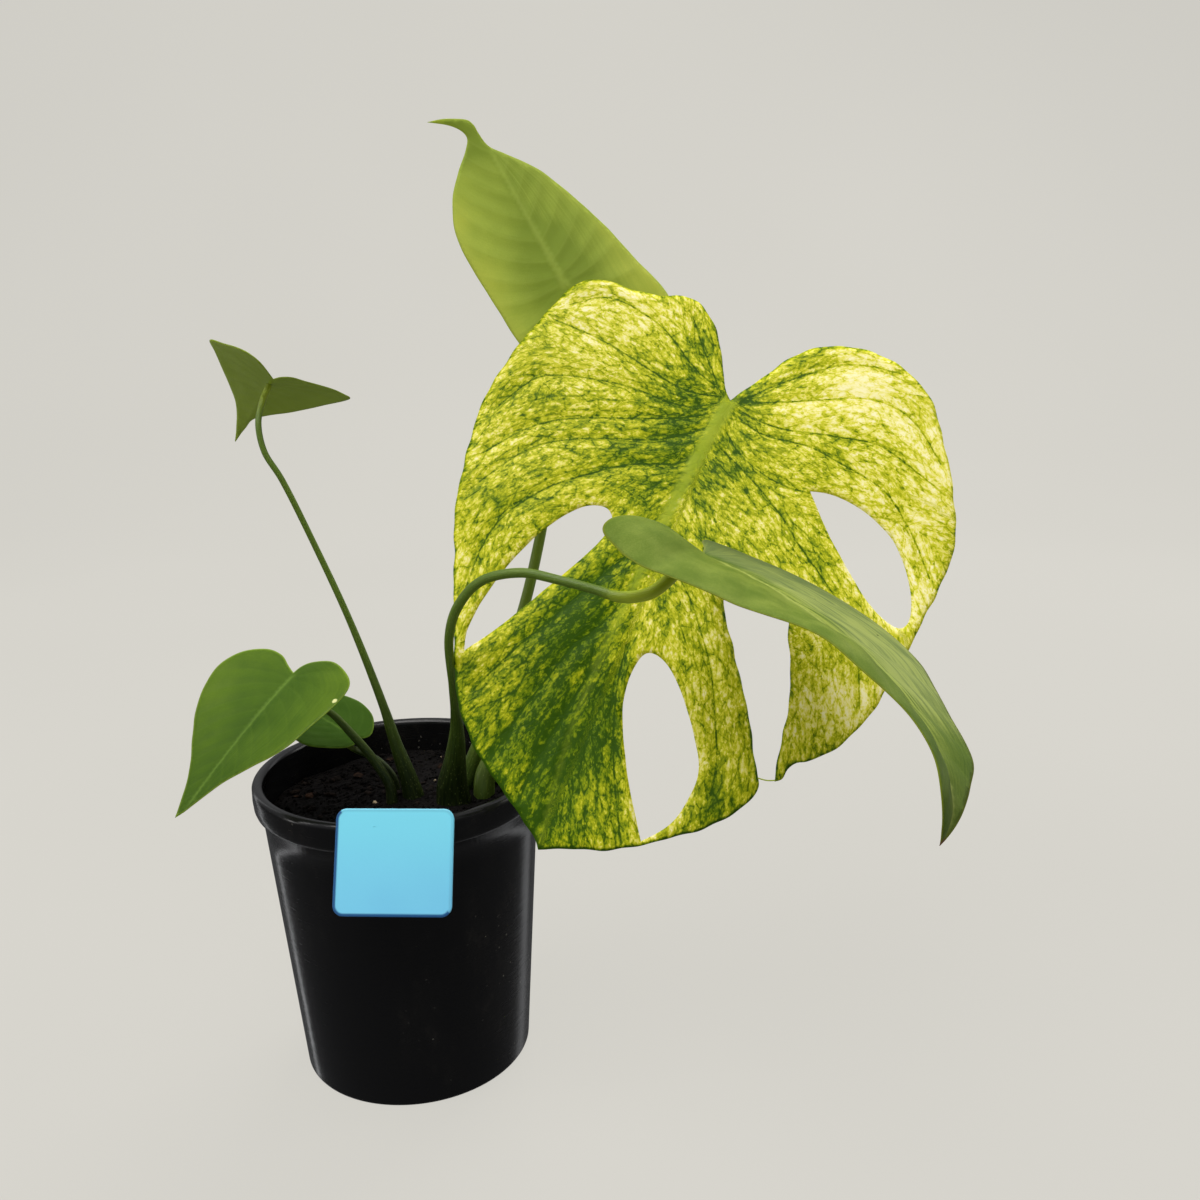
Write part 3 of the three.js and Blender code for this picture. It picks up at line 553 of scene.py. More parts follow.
def settle(piece, slot, material, *nodes):
    """Gives a piece its material, its body and the solids that it stands for; the slot is not used"""
    piece.data.materials.append(material)
    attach(piece, "root")
    if nodes:
        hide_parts(*nodes)
    return piece


def build_blade(key, style):
    """A thin blade on its leaf's form, with a raised midrib, pressed-in side veins and a thin margin"""
    leaf = LEAVES[key]
    flat = flat_leaf(leaf, style["edge_step"], style["inner_step"])
    u, v = flat["places"].T
    middle = blade_points(leaf, u, v)
    normal = blade_normals(leaf, u, v)
    margin = np.minimum(flat["edge"], flat["hole"])
    thickness = MARGIN_THICKNESS + (INNER_THICKNESS - MARGIN_THICKNESS) * smoothstep(0, 1.6, margin)
    taper = np.clip(1 - u / leaf["length"], 0.1, 1.1)
    rib_width = style["rib"] * (0.28 + 0.72 * taper ** 1.3)
    off_rib = np.abs(v - rib_at(leaf, u))
    rib = np.exp(-(off_rib / rib_width) ** 2) * smoothstep(-3, 2, u) * smoothstep(0, 3, margin)
    band = smoothstep(rib_width * 1.25, rib_width * 0.75, off_rib)
    band = band * smoothstep(-4, 1, u) * smoothstep(0, 3, margin)
    groove = np.exp(-(flat["vein"] / 0.9) ** 2) * smoothstep(0, 5, margin) * (1 - rib)
    pillow = smoothstep(0, 6, flat["vein"]) * smoothstep(0, 6, margin) * (1 - rib)
    sheet = style["relief"] * (pillow * 0.55 - groove * 0.35)
    upper = middle + normal * (sheet + thickness / 2 + style["rib_top"] * rib * taper)[:, None]
    lower = middle + normal * (sheet - thickness / 2 - style["rib_under"] * rib * taper)[:, None]
    count = len(u)
    triangles = flat["triangles"]
    first, second, third = (flat["places"][triangles[:, k]] for k in range(3))
    turn = ((second[:, 0] - first[:, 0]) * (third[:, 1] - first[:, 1])
            - (second[:, 1] - first[:, 1]) * (third[:, 0] - first[:, 0]))
    triangles = np.where((turn > 0)[:, None], triangles[:, [0, 2, 1]], triangles)
    faces = [*triangles.tolist(), *(triangles[:, ::-1] + count).tolist()]
    walls = {}
    for a, b, c in triangles.tolist():
        for start, end in ((a, b), (b, c), (c, a)):
            if (end, start) in walls:
                del walls[end, start]
            else:
                walls[start, end] = True
    rim = range(len(faces), len(faces) + len(walls))
    faces += [(end, start, start + count, end + count) for start, end in walls]
    piece = mesh_piece("leaf_" + key, np.concatenate([upper, lower]), faces, flat_faces=rim)
    twice = {name: np.tile(flat[name], 2) for name in ("edge", "hole", "vein")}
    twice.update({name: np.tile(field, 2) for name, field in flat["fields"].items()})
    under = np.repeat([0.0, 1.0], count)
    paint(piece, along=np.tile(u, 2), across=np.tile(v, 2), under=under, band=np.tile(band, 2),
          green=np.tile(style["green"](u, v), 2), **twice)
    return settle(piece, style["slot"], style["material"], "blade_" + key)


def stalk_curve(points, count):
    """Places and directions on a centripetal curve through the points"""
    points = np.array(points, float)
    points = np.concatenate([[2 * points[0] - points[1]], points, [2 * points[-1] - points[-2]]])
    places, heads, stops = [], [], []
    last = len(points) - 3
    for share in np.linspace(0, last, count):
        i = min(int(share), last - 1)
        t = share - i
        p0, p1, p2, p3 = points[i:i + 4]
        d0, d1, d2 = (max(np.linalg.norm(b - a) ** 0.5, 1e-4) for a, b in ((p0, p1), (p1, p2), (p2, p3)))
        leave = ((p1 - p0) / d0 - (p2 - p0) / (d0 + d1) + (p2 - p1) / d1) * d1
        arrive = ((p2 - p1) / d1 - (p3 - p1) / (d1 + d2) + (p3 - p2) / d2) * d1
        cubic = 2 * p1 - 2 * p2 + leave + arrive
        square = -3 * p1 + 3 * p2 - 2 * leave - arrive
        places.append(cubic * t ** 3 + square * t ** 2 + leave * t + p1)
        heads.append(3 * cubic * t ** 2 + 2 * square * t + leave)
        stops.append(share)
    return np.array(places), unit(np.array(heads)), np.array(stops)


def ring_frames(heads, across):
    """At each place of a curve, two directions across it that turn as little as they can"""
    frames = []
    for head in heads:
        across = unit(across - head * (across @ head))
        frames.append((across, np.cross(head, across)))
    return frames


def build_stalk(key, style):
    """A smooth stalk on its solid's route, channelled where it is a sheath, swollen near its blade"""
    leaf, plan = LEAVES[key], STALKS[key]
    along, _, face = leaf_frame(leaf)
    join = np.array([float(plan["join"])])
    seat = blade_points(leaf, join, join * 0)[0]
    normal = blade_normals(leaf, join, join * 0)[0]
    end = seat - normal * (CAD_BLADE / 2 + FIT)
    approach = [seat + along * (back - plan["join"]) - face * below for back, below in plan["approach"]]
    heights = (SOIL_LEVEL - BURIED_DEPTH, SOIL_LEVEL - BURIED_DEPTH / 2, SOIL_LEVEL + 1)
    points = [(*plan["base"], height) for height in heights]
    points += [stop[:3] for stop in plan["route"]]
    points += [*approach, end - normal * NECK_LENGTH, end]
    top = (plan["end_radius"],) * 2
    sizes = [(stop[3], stop[-1]) for stop in plan["route"]]
    sizes = [plan["base_size"]] * 3 + sizes + [top] * (len(approach) + 2)
    rings, sides = 26 * (len(points) - 1), 28
    places, heads, stops = stalk_curve(points, rings)
    wide, deep = (np.interp(stops, range(len(sizes)), [size[k] for size in sizes]) for k in range(2))
    gone = np.concatenate([[0], np.cumsum(np.linalg.norm(np.diff(places, axis=0), axis=1))])
    left = gone[-1] - gone
    bend = style["geniculum"]
    swell = 1 + style["swell"] * np.exp(-((left - bend * 0.45) / (bend * 0.4)) ** 2)
    ring = 1 - style["crease"] * np.exp(-((left - bend) / 1.1) ** 2)
    sheath = smoothstep(style["sheath"] + 14, style["sheath"] - 10, gone)
    angles = np.linspace(0, 2 * math.pi, sides, endpoint=False)
    channel = math.radians(style["channel"])
    off = np.arctan2(np.sin(angles - channel), np.cos(angles - channel))
    rows = []
    for i, (across, through) in enumerate(ring_frames(heads, np.array([1.0, 0, 0]))):
        dip = (1 - 0.5 * sheath[i] * np.exp(-(off / 0.5) ** 2)
               + 0.08 * sheath[i] * np.exp(-((np.abs(off) - 0.9) / 0.3) ** 2))
        size = dip * swell[i] * ring[i]
        rows.append(places[i] + np.outer(np.cos(angles) * size * wide[i], across)
                    + np.outer(np.sin(angles) * size * deep[i], through))
    faces = tube_faces(rings, sides)
    piece = mesh_piece("petiole_" + key, np.concatenate(rows), faces,
                       flat_faces=(len(faces) - 2, len(faces) - 1))
    paint(piece, gone=np.repeat(gone - BURIED_DEPTH, sides), sheath=np.repeat(sheath, sides),
          around=np.tile(np.cos(angles), rings), aside=np.tile(np.sin(angles), rings),
          pale=np.repeat(smoothstep(bend + 5, bend - 9, left), sides) * style["pale"])
    return settle(piece, "stalk", style["material"], "stalk_" + key)


def build_thread(material):
    """A fine fibre that is left across the mouth of the large leaf's open slot"""
    radius, sides, sag = 0.25, 6, 0.5
    mouth_u, mouth_v = np.array([139.2, 137.2]), np.array([-66.0, -72.8])
    start, end = blade_points(LEAVES["marbled"], mouth_u, mouth_v)
    low = (start + end) / 2 - [0, 0, sag]
    places, heads, _ = stalk_curve([start, low, end], 12)
    rows = []
    for place, (across, through) in zip(places, ring_frames(heads, np.array([0.0, 1.0, 0]))):
        for angle in np.linspace(0, 2 * math.pi, sides, endpoint=False):
            rows.append(place + radius * (math.cos(angle) * across + math.sin(angle) * through))
    thread = mesh_piece("slot_thread", rows, tube_faces(len(places), sides))
    settle(thread, "leaf_marbled", material)


# Materials

class Look:
    """A material, or a world, under construction. Each method adds a node and returns what comes out of it"""

    def __init__(self, name, kind="materials"):
        self.material = getattr(bpy.data, kind).new(name)
        self.material.use_nodes = True
        self.tree = self.material.node_tree
        self.tree.nodes.clear()

    def node(self, kind, inputs=None, **settings):
        node = self.tree.nodes.new("ShaderNode" + kind)
        for name, value in settings.items():
            setattr(node, name, value)
        for name, value in (inputs or {}).items():
            if value is None:
                continue
            if isinstance(value, bpy.types.NodeSocket):
                self.tree.links.new(value, node.inputs[name])
            else:
                node.inputs[name].default_value = value
        return node

    def read(self, name):
        return self.node("Attribute", attribute_name=name).outputs["Fac"]

    def reads(self, *names):
        return [self.read(name) for name in names]

    def place(self):
        return self.node("TexCoord").outputs["Object"]

    def split(self, vector):
        return self.node("SeparateXYZ", {0: vector}).outputs

    def vector(self, x=0.0, y=0.0, z=0.0):
        return self.node("CombineXYZ", {0: x, 1: y, 2: z}).outputs[0]

    def math(self, operation, a, b=None, c=None):
        return self.node("Math", {0: a, 1: b, 2: c}, operation=operation).outputs[0]

    def times(self, a, b):
        return self.math("MULTIPLY", a, b)

    def more(self, layer, strength, level):
        """The level with so much of the layer added"""
        return self.math("MULTIPLY_ADD", layer, strength, level)

    def centred(self, value):
        return self.math("SUBTRACT", value, 0.5)

    def scaled(self, vector, x, y, z):
        return self.node("Mapping", {"Vector": vector, "Scale": (x, y, z)}).outputs[0]

    def noise(self, vector, scale, detail=2.0, roughness=0.5, distortion=0.0):
        inputs = {"Vector": vector, "Scale": scale, "Detail": detail, "Roughness": roughness,
                  "Distortion": distortion}
        return self.node("TexNoise", inputs).outputs["Fac"]

    def cells(self, vector, scale, feature="F1", out="Distance", smoothness=None):
        inputs = {"Vector": vector, "Scale": scale, "Smoothness": smoothness}
        return self.node("TexVoronoi", inputs, feature=feature).outputs[out]

    def veined(self, texture, along, across):
        """A texture drawn along the veins: both sets of vein coordinates, joined by their blend"""
        drawn = []
        for count in ("0", "1"):
            way, off, number = self.reads("s" + count, "n" + count, "k" + count)
            place = self.vector(self.times(way, along), self.times(off, across), number)
            drawn.append(self.centred(texture(place)))
        turn = self.times(self.read("blend"), math.pi / 2)
        first = self.times(drawn[0], self.math("COSINE", turn))
        return self.more(drawn[1], self.math("SINE", turn), first)

    def span(self, value, low, high, to_low=0.0, to_high=1.0, kind="SMOOTHSTEP"):
        inputs = {"Value": value, "From Min": low, "From Max": high, "To Min": to_low, "To Max": to_high}
        return self.node("MapRange", inputs, interpolation_type=kind).outputs[0]

    def fade(self, value, low, high):
        return self.span(value, low, high, 1.0, 0.0)

    def blend(self, share, a, b):
        """From one colour to the other, where each is drawn by a node or has 0 to 255 a channel"""
        a, b = (srgb(*value) if isinstance(value, tuple) else value for value in (a, b))
        return self.node("Mix", {0: share, 6: a, 7: b}, data_type="RGBA").outputs[2]

    def ramp(self, share, stops):
        node = self.node("ValToRGB", {0: share})
        ramp = node.color_ramp
        while len(ramp.elements) < len(stops):
            ramp.elements.new(0.5)
        for element, (position, colour) in zip(ramp.elements, stops):
            element.position = position
            element.color = srgb(*colour)
        return node.outputs[0]

    def bump(self, height, distance, strength=1.0, normal=None):
        inputs = {"Height": height, "Distance": distance, "Strength": strength, "Normal": normal}
        return self.node("Bump", inputs).outputs[0]

    def finish(self, through=None, share=0.0, **inputs):
        """Ends the material in a Principled shader, mixed with light that comes through the leaf"""
        names = {key.replace("_", " ").title(): value for key, value in inputs.items()}
        if "Specular Level" in names:
            names["Specular IOR Level"] = names.pop("Specular Level")
        shader = self.node("BsdfPrincipled", names).outputs[0]
        if through is not None:
            thin = self.node("BsdfTranslucent", {"Color": through}).outputs[0]
            mixer = self.node("MixShader", {0: share})
            self.tree.links.new(shader, mixer.inputs[1])
            self.tree.links.new(thin, mixer.inputs[2])
            shader = mixer.outputs[0]
        self.tree.links.new(shader, self.node("OutputMaterial").inputs[0])
        return self.material


def marbled_look():
    """Cream and yellow with green flecks that gather along the veins"""
    look = Look("marbled_leaf")
    vein, green, band, edge, hole = look.reads("vein", "green", "band", "edge", "hole")
    along, across = look.reads("along", "across")
    flat = look.vector(along, across)
    blotches = look.veined(lambda at: look.noise(at, 1.0, 3.0, 0.65, 0.3), 0.12, 0.26)
    flecks = look.veined(lambda at: look.cells(at, 1.0, "SMOOTH_F1", "Color", 0.3), 0.42, 0.85)
    specks = look.veined(lambda at: look.cells(at, 1.0, "SMOOTH_F1", "Color", 0.25), 1.0, 1.7)
    net, near_net = (
        look.veined(lambda at: look.span(look.cells(at, 1.0, "DISTANCE_TO_EDGE"), 0.0, *ends), 0.1, 0.3)
        for ends in ((0.045, 1.5, 0.5), (0.3, 1.0, 0.3)))
    patches = look.centred(look.noise(flat, 0.045, 3.0, 0.55))
    grain = look.noise(flat, 2.2, 3.0, 0.7)
    level = green
    contrast = look.times(look.span(green, 0.6, 1.05, 1.0, 0.72), look.span(green, 0.0, 0.36, 0.8, 1.08))
    for layer, strength in ((blotches, 0.8), (flecks, 0.32), (specks, 0.4), (patches, 0.5), (net, 0.16),
                            (near_net, 0.22)):
        level = look.more(look.times(layer, contrast), strength, level)
    level = look.more(look.centred(grain), 0.3, level)
    level = look.more(look.fade(vein, 0.0, 3.0), 0.08, level)
    level = look.more(look.fade(hole, 0.0, 5.0), -0.12, level)
    line = look.times(look.fade(vein, 0.08, 0.55), look.span(grain, 0.3, 0.6, 0.5, 1.0))
    level = look.more(line, 0.32, level)
    rim_more = look.span(along, 90.0, 165.0, 0.18, 0.5)
    level = look.more(look.fade(edge, 0.1, 1.3), rim_more, level)
    colour = look.ramp(level, [
        (0.0, (248, 243, 206)), (0.2, (240, 234, 156)), (0.35, (228, 223, 92)),
        (0.47, (206, 205, 42)), (0.6, (178, 184, 24)), (0.72, (146, 160, 14)),
        (0.85, (104, 132, 8)), (1.0, (54, 88, 2)),
    ])
    ridge = look.ramp(look.noise(flat, 0.09, 3.0), [(0.3, (150, 172, 40)), (0.7, (176, 188, 56))])
    ridge_share = look.times(band, look.span(along, 60.0, 135.0, 0.9, 0.22))
    colour = look.blend(ridge_share, colour, ridge)
    height = look.math("ADD", look.times(grain, 0.5), look.times(net, -0.35))
    normal = look.bump(height, 0.0004, 0.5)
    roughness = look.span(grain, 0.3, 0.7, 0.5, 0.4)
    lit = look.blend(0.12, colour, (225, 220, 40))
    return look.finish(through=lit, share=0.36, base_color=colour, roughness=roughness, normal=normal,
                       specular_level=0.13)


def green_look(name, colours, shares, lines, gloss, far_lines, shine, marks=(), far_sheen_colour=None):
    """A plain green leaf: fine lines along its veins, paler veins, a thin pale margin and a few marks.

    The colours are those of the pale, middle and dark parts, the veins, the midrib, the margin, the
    underside and the light that comes through. The shares are the veins', the midrib's and that light's.
    """
    pale, middle, dark, vein_colour, rib_colour, edge_colour, under_colour, through = colours
    vein_share, rib_share, share = shares
    look = Look(name)
    along, across, vein, band, edge, green = look.reads("along", "across", "vein", "band", "edge", "green")
    flat = look.vector(along, across)
    strokes = look.veined(lambda at: look.noise(at, 1.0, 3.0, 0.6), 0.05, 1.0)
    clouds = look.noise(flat, 0.06, 3.0, 0.55)
    grain = look.noise(flat, 1.6, 2.0, 0.6)
    dots = look.cells(flat, 0.9)
    side = look.span(across, -3.0, 0.0, far_lines * 0.25, lines)
    off = look.math("ABSOLUTE", across)
    lane = look.math("DIVIDE", off, look.math("ADD", look.math("ADD", off, edge), 0.1))
    lane = look.more(along, -0.11, look.times(lane, 23.0))
    pleats = look.noise(look.vector(look.times(along, 0.026), lane), 1.0, 3.0, 0.6)
    pleats = look.centred(pleats)
    pleats = look.times(pleats, look.span(across, -3.0, 0.0, far_lines, 0.0))
    pleats = look.times(pleats, look.span(along, 84.0, 112.0, 1.0, 0.15))
    pleats = look.times(pleats, look.span(along, 0.0, 42.0, 0.45, 1.0))
    level = look.more(look.centred(clouds), 0.7, green)
    level = look.more(strokes, side, level)
    level = look.more(pleats, 4.6, level)
    level = look.more(look.centred(grain), 0.35, level)
    level = look.more(look.fade(dots, 0.08, 0.2), -0.12, level)
    colour = look.ramp(level, [(0.0, pale), (0.5, middle), (1.0, dark)])
    colour = look.blend(look.span(vein, 0.1, 0.8, vein_share, 0.0), colour, vein_colour)
    colour = look.blend(look.times(band, rib_share), colour, rib_colour)
    colour = look.blend(look.span(edge, 0.05, 0.9, 0.7, 0.0), colour, edge_colour)
    # Painted sheen: a pale grey laid over the far half, short of the tip
    if far_sheen_colour:
        far_sheen_share = look.times(look.span(across, -12.0, -2.0, 0.3, 0.0),
                              look.fade(along, 84.0, 112.0))
        colour = look.blend(far_sheen_share, colour, far_sheen_colour)
    under = look.times(look.read("under"), 0.45)
    colour = look.blend(under, colour, under_colour)
    for u, v, radius, tint in marks:
        gap = look.node("VectorMath", {0: flat, 1: (u, v, 0)}, operation="DISTANCE").outputs["Value"]
        colour = look.blend(look.span(gap, radius * 0.5, radius, 0.85, 0.0), colour, tint)
    height = look.math("ADD", look.times(strokes, side), look.times(grain, 0.4))
    height = look.math("ADD", height, look.times(pleats, 2.2))
    normal = look.bump(height, 0.0004, 0.45)
    roughness = look.span(clouds, 0.3, 0.7, gloss - 0.05, gloss + 0.08)
    lit = look.blend(0.35, colour, through)
    return look.finish(through=lit, share=share, base_color=colour, roughness=roughness, normal=normal,
                       specular_level=shine)


def stalk_look(name, palette):
    """Smooth green with fine streaks, darkened towards the foot as painted shade of the pot's inside,
    yellowish where it bends to the blade
    """
    look = Look(name)
    gone, pale, sheath, around, aside = look.reads("gone", "pale", "sheath", "around", "aside")
    skin = look.vector(look.times(gone, 0.05), look.times(around, 4.0),
                       look.times(aside, 4.0))
    streaks = look.noise(skin, 1.6, 4.0, 0.65)
    dots = look.cells(look.scaled(skin, 9.0, 1.6, 1.6), 1.0)
    # Painted shade: the colour darkens from the body to the foot colour, where the stalk stands in the dark
    # inside of the pot
    level = look.span(gone, -4.0, palette["rise"], 0.0, 1.0)
    colour = look.blend(level, palette["shaded_foot"], palette["body"])
    streak_share = look.times(look.span(streaks, 0.35, 0.75, 0.0, 0.5),
                             look.span(level, 0.0, 0.6, 0.2, 1.0))
    colour = look.blend(streak_share, colour, palette["streak"])
    colour = look.blend(look.times(sheath, look.span(aside, 0.2, 0.95, 0.0, 0.15)), colour,
                        palette["streak"])
    colour = look.blend(look.times(look.fade(dots, 0.1, 0.22), 0.35), colour,
                        (150, 160, 100))
    colour = look.blend(pale, colour, palette["bend"])
    normal = look.bump(streaks, 0.0005, 0.4)
    roughness = look.span(streaks, 0.3, 0.7, 0.34, 0.46)
    return look.finish(base_color=colour, roughness=roughness, normal=normal, specular_level=0.28)


def pot_look():
    """Black glossy plastic with faint moulding rings, wiped dust and fine scuffs"""
    look = Look("pot_plastic")
    place = look.place()
    height = look.split(place)[2]
    smears = look.noise(look.scaled(place, 30, 30, 9), 1.0, 4.0, 0.6)
    scuffs = look.noise(look.scaled(place, 60, 60, 900), 1.0, 3.0, 0.7)
    dust = look.noise(look.scaled(place, 220, 220, 160), 1.0, 4.0, 0.7)
    chips = look.cells(place, 260.0)
    rings = look.noise(look.vector(0.0, 0.0, look.times(height, 420.0)), 1.0, 1.0)
    film = look.times(look.span(smears, 0.5, 0.75), look.span(dust, 0.5, 0.75, 0.04, 0.22))
    colour = look.blend(film, (10, 10, 11), (70, 66, 60))
    spots = look.times(look.fade(chips, 0.06, 0.14), look.span(smears, 0.56, 0.66))
    colour = look.blend(look.times(spots, 0.5), colour, (110, 108, 100))
    roughness = look.math("ADD", look.span(smears, 0.3, 0.7, 0.14, 0.24),
                          look.span(scuffs, 0.55, 0.75, 0.0, 0.1))
    relief = look.math("ADD", look.times(rings, 0.35), smears)
    normal = look.bump(relief, 0.0006, 0.3)
    normal = look.bump(scuffs, 0.00015, 0.3, normal)
    return look.finish(base_color=colour, roughness=roughness, normal=normal, specular_level=0.28)


def soil_look():
    """Dark mix, its near-black partly the mix's own colour and partly painted shade of the pot's inside"""
    look = Look("potting_mix")
    place = look.place()
    tone = look.read("tone")
    lumps = look.noise(place, 260, 5.0, 0.7)
    # The darkest stops are partly painted shade of the pot's inside
    colour = look.ramp(look.more(look.centred(lumps), 0.35, tone), [
        (0.0, (3, 2, 2)), (0.35, (7, 5, 4)), (0.6, (19, 12, 8)),
        (0.8, (66, 42, 26)), (1.0, (160, 144, 118)),
    ])
    normal = look.bump(lumps, 0.0012, 0.7)
    roughness = look.span(lumps, 0.3, 0.7, 0.95, 0.7)
    return look.finish(base_color=colour, roughness=roughness, normal=normal, specular_level=0.1)


def label_look():
    """Light blue plastic, a little deeper towards the foot, with a dark blue cut edge that painted shade
    makes darkest on the left and lower sides
    """
    look = Look("label_plastic")
    place = look.place()
    height = look.split(place)[2]
    grain = look.noise(place, 900, 3.0, 0.6)
    cloud = look.noise(place, 40, 2.0, 0.5)
    colour = look.blend(look.span(height, 0.100, 0.134, 0.0, 1.0), (104, 180, 212), (109, 195, 216))
    colour = look.blend(look.span(cloud, 0.35, 0.65, 0.0, 0.25), colour, (108, 192, 218))
    # The dark blue edge is the cut edge's own colour, with painted shade on the left and lower sides
    colour = look.blend(look.read("rim"), colour, (14, 72, 120))
    normal = look.bump(grain, 0.0001, 0.25)
    roughness = look.span(cloud, 0.3, 0.7, 0.38, 0.5)
    return look.finish(base_color=colour, roughness=roughness, normal=normal, specular_level=0.4)


def root_look():
    """Pale brown roots, with long fibres"""
    look = Look("roots")
    place = look.place()
    fibres = look.noise(look.scaled(place, 160, 160, 40), 1.0, 5.0, 0.65)
    colour = look.ramp(fibres, [(0.25, (96, 68, 38)), (0.5, (176, 148, 104)),
                                (0.8, (222, 204, 166))])
    return look.finish(base_color=colour, roughness=0.8, normal=look.bump(fibres, 0.0008, 0.6))


def floor_look():
    """An even pale grey that keeps a soft shadow under the pot"""
    look = Look("studio_sweep")
    tone = look.noise(look.place(), 1.2, 2.0)
    colour = look.ramp(tone, [(0.3, (52, 51, 49)), (0.7, (55, 54, 52))])
    glow = look.ramp(tone, [(0.3, (202, 200, 193)), (0.7, (204, 202, 195))])
    return look.finish(base_color=colour, roughness=0.9, specular_level=0.0, emission_color=glow,
                       emission_strength=1.0)


# Greenness over the marbled leaf: a base, and soft spots.
# Each spot is its place along and across, its reach along and across, and how much greener it is.
MARBLED_BASE = 0.46
# The paler spots from about 90 to 130 along and -40 to -86 across are painted light that makes up for the
# front leaf's shadow on that lobe
MARBLED_SPOTS = [
    (154, 16, 42, 30, 0.36), (160, 8, 24, 10, 0.16), (104, 24, 24, 14, 0.42), (144, -4, 26, 9, 0.24),
    (178, -12, 14, 12, 0.1), (188, 4, 12, 12, 0.2), (168, 31, 15, 12, 0.1), (154, -54, 18, 10, 0.28),
    (22, 16, 30, 15, 0.24), (24, -8, 40, 10, 0.1), (84, 58, 30, 18, 0.1), (128, -40, 26, 12, -0.08),
    (176, -24, 14, 12, 0.1), (60, 12, 40, 8, 0.16), (34, 30, 16, 10, 0.14), (108, -70, 26, 10, -0.09),
    (-26, -47, 15, 19, -0.42), (-15, -75, 13, 14, -0.2), (-3, -31, 7, 12, -0.16),
    (14, -63, 12, 10, -0.18), (10, -90, 30, 13, -0.3), (-30, -24, 10, 8, 0.14),
    (-24, 52, 14, 16, -0.26), (-14, 76, 12, 9, -0.2), (6, 62, 12, 12, -0.14), (50, -104, 22, 8, -0.14),
    (104, 68, 16, 8, -0.12), (-8, -26, 12, 14, -0.08), (-30, -30, 10, 10, 0.1), (36, -60, 16, 12, 0.05),
    (92, -86, 22, 12, -0.2), (102, -80, 18, 12, -0.03), (112, -44, 26, 9, -0.03), (-10, 22, 14, 8, 0.1),
]


def marbled_green(u, v):
    level = np.full_like(u, MARBLED_BASE)
    for u0, v0, reach_u, reach_v, more in MARBLED_SPOTS:
        level += more * np.exp(-((u - u0) / reach_u) ** 2 - ((v - v0) / reach_v) ** 2)
    return level


def by_rib(middle, rib_more, edge_more, width, base_u=0.0, base_reach=30.0, base_more=0.0):
    """Greenness that changes from the midrib to the margin, and round a place on the midrib"""
    def green(u, v):
        share = np.clip(np.abs(v) / width, 0, 1)
        near = np.exp(-((u - base_u) / base_reach) ** 2 - (v / (width * 0.6)) ** 2)
        return middle + rib_more * (1 - share) ** 2 + edge_more * share ** 2 + base_more * near
    return green


def top_green(u, v):
    """Deeper beside the midrib's base and at the drip tip"""
    return by_rib(0.45, 0.3, -0.35, 34, -4, 40, 0.6)(u, v) + 0.8 * smoothstep(58, 72, u)


def front_green(u, v):
    """Paler along the midrib, paler in the far half as painted sheen, deeper towards the tip and at the far
    half's margin
    """
    level = 0.45 + 0.22 * smoothstep(92, 122, u) - 0.2 * np.exp(-(v / 9) ** 2) * smoothstep(10, 50, u)
    far = smoothstep(0, -8, v)
    # In the far half: deeper near the base, and paler in the middle as painted sheen
    level += far * (0.4 * smoothstep(24, -10, u) - 0.3 * smoothstep(20, 50, u) * smoothstep(110, 80, u))
    return level + far * 0.4 * smoothstep(-24, -38, v) * smoothstep(100, 70, u)


def build_leaves():
    marbled = marbled_look()
    light = green_look("light_leaf", [
        (206, 209, 104), (162, 179, 84), (100, 130, 44), (166, 182, 94), (164, 182, 96), (160, 178, 60),
        (178, 192, 92), (215, 218, 66)], (0.2, 0.6, 0.42), 0.3, 0.5, 0.3, 0.14)
    green = green_look("green_leaf", [
        (88, 112, 22), (62, 88, 14), (38, 66, 8), (80, 106, 28), (108, 136, 54), (118, 140, 46),
        (140, 158, 48), (124, 160, 22)], (0.14, 0.4, 0.2), 0.2, 0.42, 0.2, 0.1,
        [(6.5, -30.4, 1.3, (214, 214, 150))])
    deep = green_look("deep_leaf", [
        (66, 90, 26), (44, 68, 14), (28, 50, 8), (60, 84, 28), (80, 106, 40), (84, 106, 34),
        (90, 110, 34), (90, 124, 16)], (0.14, 0.4, 0.08), 0.2, 0.6, 0.2, 0.05)
    upper = green_look("upper_leaf", [
        (116, 136, 44), (86, 108, 28), (54, 80, 16), (104, 126, 46), (128, 148, 62), (128, 146, 50),
        (150, 166, 52), (140, 172, 26)], (0.14, 0.5, 0.22), 0.2, 0.42, 0.2, 0.14)
    # The last colour is a painted sheen on the far half
    front = green_look("front_leaf", [
        (130, 142, 64), (86, 104, 38), (44, 72, 18), (104, 122, 52), (142, 152, 78), (122, 128, 34),
        (84, 110, 30), (122, 160, 32)], (0.1, 0.75, 0.2), 0.1, 0.5, 0.9, 0.05,
        [(36, -18, 0.5, (40, 40, 20)), (57.5, -27.5, 0.55, (40, 40, 20)), (141.5, 0, 3, (112, 72, 40))],
        (140, 148, 104))
    columns = ("material", "slot", "edge_step", "inner_step", "rib", "rib_top", "rib_under", "relief",
               "green")
    styles = {
        "marbled": (marbled, "leaf_marbled", 0.9, 1.9, 3.0, 0.7, 1.2, 1.0, marbled_green),
        "top": (light, "leaf_light", 0.7, 1.4, 1.5, 0.2, 0.7, 0.5, top_green),
        "front": (front, "leaf_green", 0.7, 1.5, 1.8, 0.25, 0.8, 0.55, front_green),
        "low_front": (green, "leaf_green", 0.6, 1.2, 1.1, -0.1, 0.5, 0.35, by_rib(0.42, 0.25, -0.1, 30)),
        "low_back": (deep, "leaf_green", 0.6, 1.2, 0.9, -0.1, 0.4, 0.3, by_rib(0.6, 0.1, 0.0, 22)),
        "upper_left": (upper, "leaf_green", 0.6, 1.2, 0.9, -0.1, 0.45, 0.3, by_rib(0.45, 0.1, 0.0, 28)),
    }
    for key, style in styles.items():
        build_blade(key, dict(zip(columns, style)))
    build_thread(light)


